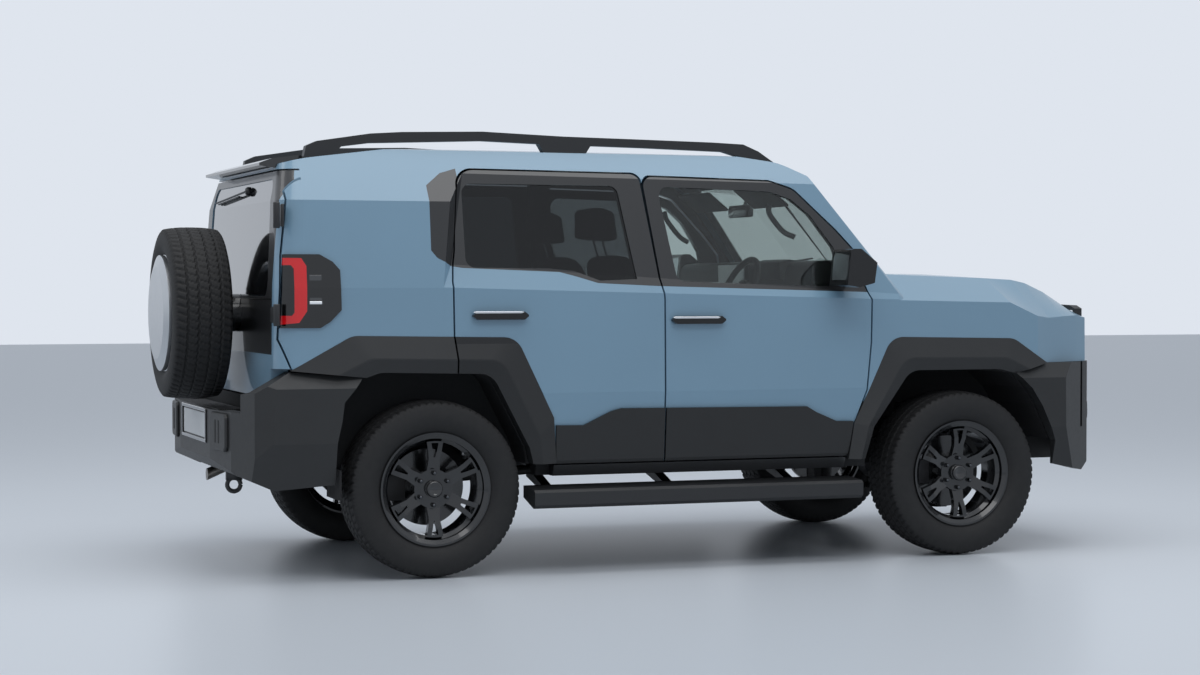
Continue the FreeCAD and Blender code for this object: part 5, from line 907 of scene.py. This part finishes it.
@dataclass
class WheelTrim:
    """Nuts, hub cap ring and valve on one road wheel.

    Attributes:
        end, side: which wheel.
        stud_circle: diameter on which the nuts stand, in metres.
        first_stud: angle of the first nut in radians.
        face: how far outside the wheel's middle plane the nuts stand.
        nut, cap: profiles as (radius, offset).
        valve: its two ends, from the wheel centre.
    """

    end: str
    side: Side
    stud_circle: float = 0.1397
    studs: int = 6
    first_stud: float = 0.5
    face: float = 0.068
    nut: tuple = ((0.0105, 0), (0.0105, 0.014), (0.007, 0.020), (0.002, 0.022))
    cap: tuple = ((0.030, 0.012), (0.037, 0.012), (0.037, 0.022), (0.032, 0.028), (0.026, 0.029),
                  (0.024, 0.0265), (0.001, 0.0265))
    valve: tuple = ((0.165, 0.090, -0.09), (0.158, 0.104, -0.086))

    def build(self) -> None:
        """Places the nuts round the hub, a ring on the cap and the valve near the rim."""
        out = self.side.value
        label = f"{self.end}_{self.side.word}"
        centre = np.array((WHEEL_STATIONS[self.end], out * HALF_TRACK, RADIUS))
        hub = centre + (0, out * self.face, 0)
        nuts = Piece(f"wheel_nuts_{label}", CHROME_DARK, f"wheel_{label}", "alloy", bevel=0.0008)
        outward = np.array((1, out))
        for turn in np.arange(self.studs) * FULL_TURN / self.studs + self.first_stud:
            aside = self.stud_circle / 2 * np.array((math.cos(turn), 0, math.sin(turn)))
            nuts.turned(self.nut * outward, hub + aside, segments=6)
        nuts.make()
        cap = Piece(f"hub_cap_ring_{label}", GLOSS_BLACK, f"wheel_{label}", "alloy")
        cap.turned(self.cap * outward, hub).make()
        valve = Piece(f"valve_{label}", SEAL_AND_SLOT_SHADE, f"wheel_{label}", "tyre_rubber")
        valve.tube(centre + np.array(self.valve) * (1, out, 1), 0.0045, samples=4).make()


@dataclass
class SeatPad:
    """A foam pad in cloth: its side outline, rounded and carried across with crowned ends.

    Attributes:
        name: object name.
        outline: (x, z) points of the side view, in metres.
        low, high: lowest and highest y.
        crown: how far the middle swells in metres.
        seams: where the seams run, -1 and 1 being the ends.
        seam_depth, seam_width: how far a seam pulls in, and its share of half the pad.
        edge, fullness: how far the ends round off in metres, and how square they stay.
        samples, across: points round the outline, and outlines from end to end.
    """

    name: str
    outline: tuple
    low: float
    high: float
    crown: float = 0.012
    seams: tuple = (-0.55, 0.55)
    seam_depth: float = 0.010
    seam_width: float = 0.025
    edge: float = 0.055
    fullness: float = 7.0
    samples: int = 96
    across: int = 72

    def build(self) -> bpy.types.Object:
        """Makes the pad.

        The outline is resampled evenly and rounded by averaging neighbours. Across the seat it shrinks
        towards its middle near both ends as a superellipse, swells between the seams and dips at them.

        Returns:
            The object.
        """
        ring = rounded_outline(np.array(self.outline), self.samples)
        middle = ring.mean(axis=0)
        v = np.sin(np.linspace(-math.pi / 2, math.pi / 2, self.across))[:, None]
        inset = 1 - (1 - np.abs(v) ** self.fullness) ** (1 / 2.2)
        reach = ring - middle
        length = np.linalg.norm(reach, axis=1)[None, :]
        shrink = 1 - inset * np.minimum(self.edge / length, 0.9)
        swell = self.crown * np.cos(np.clip(v, -1, 1) * math.pi / 2) ** 0.5
        for seam in self.seams:
            swell = swell - self.seam_depth * np.exp(-((v - seam) / self.seam_width) ** 2)
        size = shrink * (1 + (swell - self.crown) / length)
        flat = middle + reach[None] * size[:, :, None]
        y = (self.low + self.high) / 2 + v * (self.high - self.low) / 2
        piece = Piece(self.name, CLOTH, slot="seat_cloth")
        made = piece.surface(oriented(flat[:, :, 0], y, flat[:, :, 1], "y")).make()
        return made


@dataclass
class Cabin:
    """Seats, headrests, mirror, visors, grab handles, display and the dials' hood.

    Outlines of seats are pairs of station and height share, other sizes are in metres.
    """

    seat: float = 0.370
    width: float = 0.510
    head_width: float = 0.276
    cushion: tuple = ((0.425, 0.395), (0.420, 0.465), (0.470, 0.470), (0.620, 0.482), (0.635, 0.455),
                      (0.610, 0.395))
    back: tuple = ((0.420, 0.430), (0.480, 0.470), (0.452, 0.560), (0.412, 0.690), (0.395, 0.722),
                   (0.368, 0.722), (0.372, 0.640), (0.395, 0.500))
    head: tuple = ((0.388, 0.755), (0.381, 0.825), (0.357, 0.836), (0.330, 0.830), (0.330, 0.760))
    base: tuple = ((0.440, 0.3114), (0.440, 0.395), (0.600, 0.395), (0.600, 0.3114))
    bench: tuple = ((0.085, 0.356), (0.085, 0.445), (0.140, 0.462), (0.270, 0.474), (0.285, 0.445),
                    (0.265, 0.400), (0.198, 0.356))
    bench_back: tuple = ((0.085, 0.430), (0.150, 0.455), (0.105, 0.600), (0.070, 0.700), (0.045, 0.735),
                         (0.018, 0.735), (0.035, 0.600))
    bench_half: float = 0.556
    bench_back_half: float = 0.574
    bench_seams: tuple = (-0.33, 0.33)
    post_gap: float = 0.061
    mirror: tuple = ((-0.125, 1.610), (0.125, 1.610), (0.130, 1.640), (0.118, 1.672), (-0.118, 1.672),
                     (-0.130, 1.640))
    mirror_arm: tuple = ((0.625, 0, 1.645), (0.642, 0, 1.690), (0.650, 0, 1.735))
    visor: tuple = ((0.500, 1.735), (0.512, 1.742), (0.622, 1.655), (0.612, 1.645))
    grip: tuple = ((0.470, 1.0, 1.655), (0.478, 0.97, 1.610), (0.545, 0.97, 1.530), (0.600, 1.0, 1.500))
    grip_aside: float = 0.665
    display: tuple = ((-0.160, 1.240), (0.160, 1.240), (0.165, 1.375), (-0.165, 1.375))
    dial_hood: tuple = ((0.590, 1.300), (0.585, 1.385), (0.640, 1.398), (0.690, 1.390), (0.690, 1.300))

    def front_seat(self, side: Side) -> None:
        """Makes one front seat: base, cushion, back, headrest and its two posts.

        Args:
            side: side of the vehicle.
        """
        middle, word = side.value * self.seat, side.word
        low, high = side.span(self.seat - self.width / 2, self.seat + self.width / 2)
        base = Piece(f"seat_base_{word}", SATIN_BLACK, slot="cabin_plastic", smooth=False, bevel=0.01)
        made = base.prism(outline(self.base), low + 0.05, high - 0.05).make()
        if side is Side.RIGHT:
            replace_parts(made, "front_seats")
        SeatPad(f"seat_cushion_{word}", outline(self.cushion), low, high).build()
        SeatPad(f"seat_back_{word}", outline(self.back), low + 0.01, high - 0.01).build()
        SeatPad(f"seat_headrest_{word}", outline(self.head), middle - self.head_width / 2,
                middle + self.head_width / 2, crown=0.008, seams=(), samples=64, across=40).build()
        posts = Piece(f"headrest_posts_{word}", CHROME, slot="chassis_paint")
        for y in (middle - self.post_gap, middle + self.post_gap):
            posts.tube(((-0.245, y, 1.38), (-0.289, y, 1.53)), 0.006, samples=4)
        posts.make()

    def rear_seat(self) -> None:
        """Makes the bench and its back."""
        made = SeatPad("bench_cushion", outline(self.bench), -self.bench_half, self.bench_half,
                       seams=self.bench_seams).build()
        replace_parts(made, "rear_seat")
        SeatPad("bench_back", outline(self.bench_back), -self.bench_back_half, self.bench_back_half,
                seams=self.bench_seams).build()

    def fittings(self) -> None:
        """Makes the inside mirror, the sun visors, the grab handles, the display and the dials' hood."""
        mirror = Piece("inside_mirror", GLOSS_BLACK, slot="cabin_plastic", bevel=0.008)
        mirror.prism(self.mirror, 0.598, 0.628, axis="x").tube(self.mirror_arm, 0.009, samples=12).make()
        visors = Piece("sun_visors", CLOTH, slot="seat_cloth", bevel=0.008)
        grips = Piece("grab_handles", CABIN, slot="cabin_plastic")
        for side in Side:
            visors.prism(self.visor, *side.span(0.16, 0.56))
            grips.tube(np.array(self.grip) * (1, side.value * self.grip_aside, 1), 0.013, flat=0.8)
        visors.make()
        grips.make()
        screen = Piece("centre_display", SMOKED_LENS, slot="cabin_plastic", smooth=False, bevel=0.004)
        screen.prism(self.display, 0.560, 0.590, axis="x").make()
        hood = Piece("dial_hood", CABIN, slot="cabin_plastic", bevel=0.006)
        hood.prism(self.dial_hood, -0.520, -0.220).make()

    def build(self) -> None:
        """Makes everything in the cabin."""
        for side in Side:
            self.front_seat(side)
        self.rear_seat()
        self.fittings()


@dataclass
class Lamps:
    """Tail lamps' side lenses and reversing strips, headlamps' bowls and light bars; sizes in metres."""

    window: tuple = rectangle(-1.776, -1.722, 1.319, 1.192)
    strip: tuple = rectangle(-1.776, -1.722, 1.207, 1.195)
    head_aside: float = 0.530
    head_face: float = 2.1634
    bowl: tuple = ((0.038, 0.001), (0.040, 0.006), (0.036, 0.006), (0.030, 0.0035), (0.001, 0.002))
    bowl_gap: float = 0.043
    bowl_height: float = 1.062
    bar_half: float = 0.09
    bar: tuple = ((0, 0), (0.005, 0.002), (0.005, 0.012), (0, 0.014))
    bar_levels: tuple = (0.962, 1.132)

    def tail(self, side: Side) -> None:
        """Makes one tail lamp's parts, laid on the black lamp body.

        Args:
            side: side of the vehicle.
        """
        for name, finish, shape, lift, slot in (
                ("side_lens", SMOKED_LENS, self.window, 0.0015, "tail_lens"),
                ("reverse_strip", CHROME, self.strip, 0.003, "lamp_lens")):
            piece = Piece(f"tail_{name}_{side.word}", finish, slot=slot, smooth=False, bevel=0.0015)
            piece.laid(Face("tail_lamps", "y", side.value), shape, lift, 0.004).make()

    def head(self, side: Side) -> None:
        """Makes one headlamp's two bowls and its lower and upper light bars.

        Args:
            side: side of the vehicle.
        """
        y = side.value * self.head_aside
        bowls = Piece(f"headlamp_bowls_{side.word}", REFLECTOR, slot="lamp_lens")
        for aside in (-self.bowl_gap, self.bowl_gap):
            bowls.turned(self.bowl, (self.head_face, y + aside, self.bowl_height), axis="x")
        bowls.make()
        bars = Piece(f"headlamp_marker_{side.word}", WHITE_BAR, slot="lamp_lens", bevel=0.001)
        for level in self.bar_levels:
            bars.prism(np.array(self.bar) + (self.head_face, level), y - self.bar_half, y + self.bar_half)
        bars.make()

    def build(self) -> None:
        """Makes the lamps on both sides."""
        for side in Side:
            self.tail(side)
            self.head(side)


@dataclass
class DoorTrims:
    """Bright strips on the pull handles, mirror glasses and the rear windows' divider bars.

    Attributes:
        handles: door, both ends along the side and height of each handle, in metres.
        tip: how far the strips taper at their ends.
        divider: the divider bar as (x, z).
        mirror: the mirror glass as distance from the middle and height.
    """

    handles: tuple = (("rear", -1.055, -0.820, 1.156), ("front", -0.120, 0.113, 1.129))
    tip: float = 0.012
    divider: tuple = ((-0.939, 1.729), (-0.9115, 1.7296), (-0.870, 1.345), (-0.898, 1.345))
    mirror: tuple = ((0.955, 1.300), (1.098, 1.300), (1.104, 1.330), (1.098, 1.412), (0.965, 1.424),
                     (0.950, 1.400))

    def build_side(self, side: Side) -> None:
        """Makes one side's trims.

        Args:
            side: side of the vehicle.
        """
        out, word = side.value, side.word
        for end, start, stop, z in self.handles:
            piece = Piece(f"handle_strip_{end}_{word}", CHROME, f"door_{end}_{word}", bevel=0.001)
            inner, outer = start + self.tip, stop - self.tip
            shape = ((inner, z - 0.003), (outer, z - 0.003), (stop, z + 0.002), (outer, z + 0.006),
                     (inner, z + 0.006), (start, z + 0.002))
            piece.laid(Face(f"trim_{end}_{word}", "y", out), shape, 0.0015, 0.002).make()
        bar = Piece(f"window_divider_{word}", SATIN_BLACK, f"door_rear_{word}", smooth=False)
        bar.laid(Face(f"glass_rear_{word}", "y", out), self.divider, 0.003, 0.008).make()
        glass = Piece(f"mirror_glass_{word}", REFLECTOR, f"door_front_{word}", "lamp_lens", smooth=False)
        glass.laid(Face(f"trim_front_{word}", "x", -1), np.array(self.mirror) * (out, 1), 0.002, 0.003).make()

    def build(self) -> None:
        """Makes both sides."""
        for side in Side:
            self.build_side(side)


@dataclass
class RearEnd:
    """Tailgate hinges, handle and strip, wiper, blank plate, bumper's dress and the spare cover's trim."""

    tailgate: Face = Face("tailgate", "x", -1)
    bumper: Face = Face("rear_bumper", "x", -1)
    hinge_levels: tuple = ((1.103, 1.196), (1.517, 1.627))
    hinge_axis: tuple = (-1.9166, -0.908, 0)
    pull: tuple = ((0.560, 1.060), (0.760, 1.060), (0.770, 1.075), (0.760, 1.092), (0.560, 1.092),
                   (0.550, 1.075))
    wiper_line: tuple = ((-0.16, 1.700), (0.05, 1.690), (0.30, 1.678), (0.52, 1.668))
    surround: tuple = ((-0.30, 0.30, 0.575, 0.590), (-0.30, 0.30, 0.712, 0.727),
                       (-0.30, -0.282, 0.590, 0.712), (0.282, 0.30, 0.590, 0.712))
    block_chamfer: float = 0.02
    slot_starts: tuple = (0.50, 0.55)
    rib_count: int = 12
    eye_centre: tuple = (-2.015, -0.470, 0.400)
    eye_radius: float = 0.030
    cover_ring: tuple = ((0.250, -0.1170), (0.262, -0.1175), (0.266, -0.1140), (0.262, -0.1110),
                         (0.250, -0.1110))
    lock: tuple = ((0.001, -0.1538), (0.014, -0.1535), (0.016, -0.1520), (0.016, -0.1450))
    lock_drop: float = 0.065

    def hinges(self) -> None:
        """Makes the two hinges: a barrel on the body's edge and a leaf on the tailgate."""
        barrels = Piece("tailgate_hinge_barrels", SATIN_BLACK)
        leaves = Piece("tailgate_hinge_leaves", SATIN_BLACK, "tailgate", bevel=0.003)
        for low, high in self.hinge_levels:
            barrels.turned(((0.002, low), (0.013, low), (0.0145, low + 0.004), (0.0145, high - 0.004),
                            (0.013, high), (0.002, high)), self.hinge_axis, axis="z")
            leaf = ((-0.884, low + 0.006), (-0.800, low + 0.016), (-0.800, high - 0.016),
                    (-0.884, high - 0.006))
            leaves.laid(self.tailgate, leaf, 0.010, 0.004)
        barrels.make()
        leaves.make()

    def handle(self) -> None:
        """Makes the tailgate's pull handle on the left of its lower panel and the strip under the glass."""
        pull = Piece("tailgate_handle", GLOSS_BLACK, "tailgate", bevel=0.003)
        pull.laid(self.tailgate, self.pull, 0.020, 0.004).make()
        strip = Piece("rear_glass_strip", CHROME_DARK, "tailgate", smooth=False)
        strip.laid(self.tailgate, rectangle(-0.780, 0.780, 1.214, 1.218), 0.002, 0.003).make()

    def wiper(self) -> None:
        """Makes the wiper: pivot cap, arm and blade along the top of the rear glass."""
        spots = Face("tailgate_glass", "x", -1).places(self.wiper_line)
        arm = Piece("rear_wiper", SATIN_BLACK, "tailgate")
        arm.tube(spots + (-0.020, 0, 0), 0.007, flat=0.6)
        arm.tube(spots[1:] + (-0.008, 0, -0.006), 0.006, flat=0.5)
        arm.turned(((0.002, -0.026), (0.014, -0.024), (0.020, -0.014), (0.020, 0.0)), spots[0], axis="x")
        arm.make()

    def plate(self) -> None:
        """Makes the blank plate in its frame."""
        ring = Piece("plate_surround", GLOSS_BLACK, smooth=False, bevel=0.003)
        for limits in self.surround:
            ring.laid(self.bumper, rectangle(*limits), 0.007, 0.004)
        ring.make()
        plate = Piece("blank_plate", BLANK_PLATE, smooth=False, bevel=0.001)
        plate.laid(self.bumper, rectangle(-0.262, 0.262, 0.596, 0.706), 0.002, 0.002).make()

    def bumper_dress(self) -> None:
        """Makes the raised side blocks, dark plates painted as the shade in their slots, the step's ribs and
        the tow eye.
        """
        blocks = Piece("bumper_side_blocks", CLADDING, smooth=False, bevel=0.008)
        # The slots are not cut: flat black plates stand on the blocks as painted shade of their hollows.
        slots = Piece("bumper_slot_painted_shade", SEAL_AND_SLOT_SHADE, smooth=False)
        for side in Side:
            low, high = side.span(0.42, 0.66)
            inner, outer = low + self.block_chamfer, high - self.block_chamfer
            raised = ((low, 0.575), (inner, 0.555), (outer, 0.555), (high, 0.575),
                      (high, 0.705), (outer, 0.722), (inner, 0.722), (low, 0.705))
            blocks.laid(self.bumper, raised, 0.016, 0.004)
            for start in self.slot_starts:
                slot = rectangle(*side.span(start, start + 0.018), 0.590, 0.690)
                slots.laid(self.bumper, slot, 0.0175, 0.0)
        blocks.make()
        slots.make()
        pad = Piece("bumper_step_pad", SEAL_AND_SLOT_SHADE, smooth=False, bevel=0.001)
        for x in np.linspace(-2.085, -1.975, self.rib_count):
            rib = ((x, 0.7291), (x + 0.005, 0.7291), (x + 0.004, 0.734), (x + 0.001, 0.734))
            pad.prism(rib, -0.48, 0.48)
        pad.make()
        eye = Piece("tow_eye", SATIN_BLACK, slot="chassis_paint")
        turn = np.linspace(0, FULL_TURN, 9)
        loop = oriented(self.eye_radius * np.cos(turn), 0.0, self.eye_radius * np.sin(turn), "y")
        eye.tube(loop + self.eye_centre, 0.010)
        eye.prism(rectangle(-2.05, -1.98, 0.42, 0.47), -0.482, -0.458).make()

    def spare(self) -> None:
        """Makes the bright ring round the spare's cover and its lock cap."""
        ring = Piece("spare_cover_ring", CHROME, "tailgate")
        ring.turned(self.cover_ring, SPARE_CENTRE, axis="x", segments=96).make()
        x, y, z = SPARE_CENTRE
        lock = Piece("spare_cover_lock", GLOSS_BLACK, "tailgate")
        lock.turned(self.lock, (x, y, z - self.lock_drop), axis="x").make()

    def build(self) -> None:
        """Makes the rear end's pieces."""
        self.hinges()
        self.handle()
        self.wiper()
        self.plate()
        self.bumper_dress()
        self.spare()


@dataclass
class FrontEnd:
    """Windscreen wipers and marker lamps at the front.

    Attributes:
        wiper_ends: y of each wiper's pivot and tip.
        wiper_levels: heights of its four points on the screen.
        marker, rim: limits of a marker lamp and its rim as seen from the front.
    """

    wiper_ends: tuple = ((-0.05, -0.58), (0.52, -0.02))
    wiper_levels: tuple = (1.378, 1.386, 1.394, 1.404)
    marker: tuple = (0.60, 0.70, 0.640, 0.690)
    rim: tuple = (0.585, 0.715, 0.625, 0.705)

    def wipers(self) -> None:
        """Makes two wipers at the foot of the windscreen."""
        arms = Piece("front_wipers", SATIN_BLACK)
        for start, stop in self.wiper_ends:
            line = tuple(zip(np.linspace(start, stop, 4), self.wiper_levels))
            spots = Face("windscreen", "x", 1).places(line)
            arms.tube(spots + (0.014, 0, 0.008), 0.007, flat=0.6)
            arms.tube(spots[1:] + (0.005, 0, 0.004), 0.005, flat=0.6)
            arms.turned(((0.002, 0.022), (0.014, 0.020), (0.018, 0.010), (0.018, -0.010)), spots[0], axis="z")
        arms.make()

    def bumper_dress(self) -> None:
        """Makes the marker lamps and their rims."""
        face = Face("front_bumper", "x", 1)
        lamps = Piece("front_marker_lamps", REFLECTOR, slot="lamp_lens", bevel=0.001)
        rims = Piece("front_marker_rims", GLOSS_BLACK, bevel=0.002)
        for side in Side:
            for piece, limits, lift in ((lamps, self.marker, 0.006), (rims, self.rim, 0.003)):
                piece.laid(face, np.array(rectangle(*limits)) * (side.value, 1), lift, 0.003)
        lamps.make()
        rims.make()

    def build(self) -> None:
        """Makes the front end's pieces."""
        self.wipers()
        self.bumper_dress()


@dataclass
class Studio:
    """Pale floor, soft lamps and the camera at the photograph's angle.

    Attributes:
        eye: camera place in metres.
        turn: its heading in degrees from +Y towards +X.
        dip: how far it looks down in degrees.
        lens: focal length in millimetres on a 36 mm sensor.
        floor_half: half the floor's side in metres.
        lamps: name, place, aim, size in metres and watts of each soft lamp.
        mirrored: share of the paler surround in what is mirrored.
    """

    eye: tuple = (-4.0144, -10.6098, 1.2797)
    turn: float = 20.11
    dip: float = 1.31
    lens: float = 69.8
    floor_half: float = 40.0
    lamps: tuple = (("top_softbox", (0.0, -1.0, 7.0), (0, 0, 0.9), (8.0, 4.0), 210),
                    ("side_softbox", (-1.0, -7.0, 8.0), (0, 0, 0.9), (9.0, 3.0), 200),
                    ("rear_softbox", (-8.0, 1.0, 6.5), (0, 0, 1.0), (5.0, 3.0), 90))
    mirrored: float = 0.75

    def camera(self) -> None:
        """Makes the camera and hands it to the scene."""
        data = bpy.data.cameras.new("photo_camera")
        data.lens, data.sensor_width = self.lens, 36.0
        eye = place_object("photo_camera", data)
        eye.location = self.eye
        eye.rotation_euler = (math.radians(90 - self.dip), 0, math.radians(-self.turn))
        bpy.context.scene.camera = eye

    def floor(self) -> None:
        """Makes the pale, faintly glossy floor that takes the shadow."""
        material = bpy.data.materials.new("pale_studio_floor")
        material.use_nodes = True
        shader = material.node_tree.nodes["Principled BSDF"]
        shader.inputs["Base Color"].default_value = linear("#cfd5dc")
        shader.inputs["Roughness"].default_value = 0.35
        mesh = bpy.data.meshes.new("studio_floor")
        half = self.floor_half
        mesh.from_pydata([(x, y, 0) for x, y in rectangle(-half, half, -half, half)], [], [(0, 1, 2, 3)])
        mesh.materials.append(material)
        ground = place_object("studio_floor", mesh)

    def light(self, name: str, place: tuple, aim: tuple, size: tuple, power: float) -> None:
        """Makes one soft rectangular lamp.

        Args:
            name: lamp name.
            place: its place in metres.
            aim: the point it shines at.
            size: its width and height.
            power: watts.
        """
        data = bpy.data.lights.new(name, "AREA")
        data.shape, data.size, data.size_y, data.energy = "RECTANGLE", size[0], size[1], power
        lamp = place_object(name, data)
        lamp.location = place
        x, y, z = np.array(aim, float) - np.array(place, float)
        lamp.rotation_euler = (math.atan2(math.hypot(x, y), -z), 0, math.atan2(-x, y))

    def world(self) -> None:
        """Makes an even surround: soft and bluish for the light, paler for what is seen or mirrored."""
        world = bpy.data.worlds.new("studio_world")
        world.use_nodes = True
        tree = world.node_tree
        back = tree.nodes["Background"]
        back.inputs["Color"].default_value = linear("#d6dee8")
        back.inputs["Strength"].default_value = 0.55
        seen = add_node(tree, "Background", Color=linear("#dfe5ee"), Strength=1.0)
        path = add_node(tree, "LightPath").outputs
        graph = Graph(tree, back, path[0])
        mirrored = graph.math("MULTIPLY", path["Is Glossy Ray"], self.mirrored)
        share = graph.math("MAXIMUM", path["Is Camera Ray"], path["Is Transmission Ray"])
        share = graph.math("MAXIMUM", share, mirrored)
        mix = add_node(tree, "MixShader", i0=share, i1=back.outputs[0], i2=seen.outputs[0])
        tree.links.new(mix.outputs[0], tree.nodes["World Output"].inputs["Surface"])
        bpy.context.scene.world = world

    def build(self) -> None:
        """Sets the stage."""
        bpy.context.scene.view_settings.view_transform = "Standard"
        self.camera()
        self.floor()
        self.world()
        for lamp in self.lamps:
            self.light(*lamp)


def dress_nodes() -> None:
    """Gives every CAD node that stays its finish."""
    for name, finish in NODE_FINISHES.items():
        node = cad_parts[name]
        material = finish.build()
        if not node.material_slots:
            node.data.materials.append(material)
        for place in node.material_slots:
            place.material = material


def build_wheels() -> None:
    """Makes the four road tyres, the spare's and the road wheels' trims."""
    for end, x in WHEEL_STATIONS.items():
        for side in Side:
            centre = (x, side.value * HALF_TRACK, RADIUS)
            Tyre(f"tyre_{end}_{side.word}", f"wheel_{end}_{side.word}", centre, side.value).build()
            WheelTrim(end, side).build()
    Tyre("spare_tyre", "tailgate", SPARE_CENTRE, -1, axle="x").build()


def main() -> None:
    """Builds the scene in order."""
    dress_nodes()
    build_wheels()
    for group in (Cabin(), Lamps(), DoorTrims(), RearEnd(), FrontEnd(), Studio()):
        group.build()


if __name__ == "__main__":
    logging.basicConfig(level=logging.INFO)
    main()
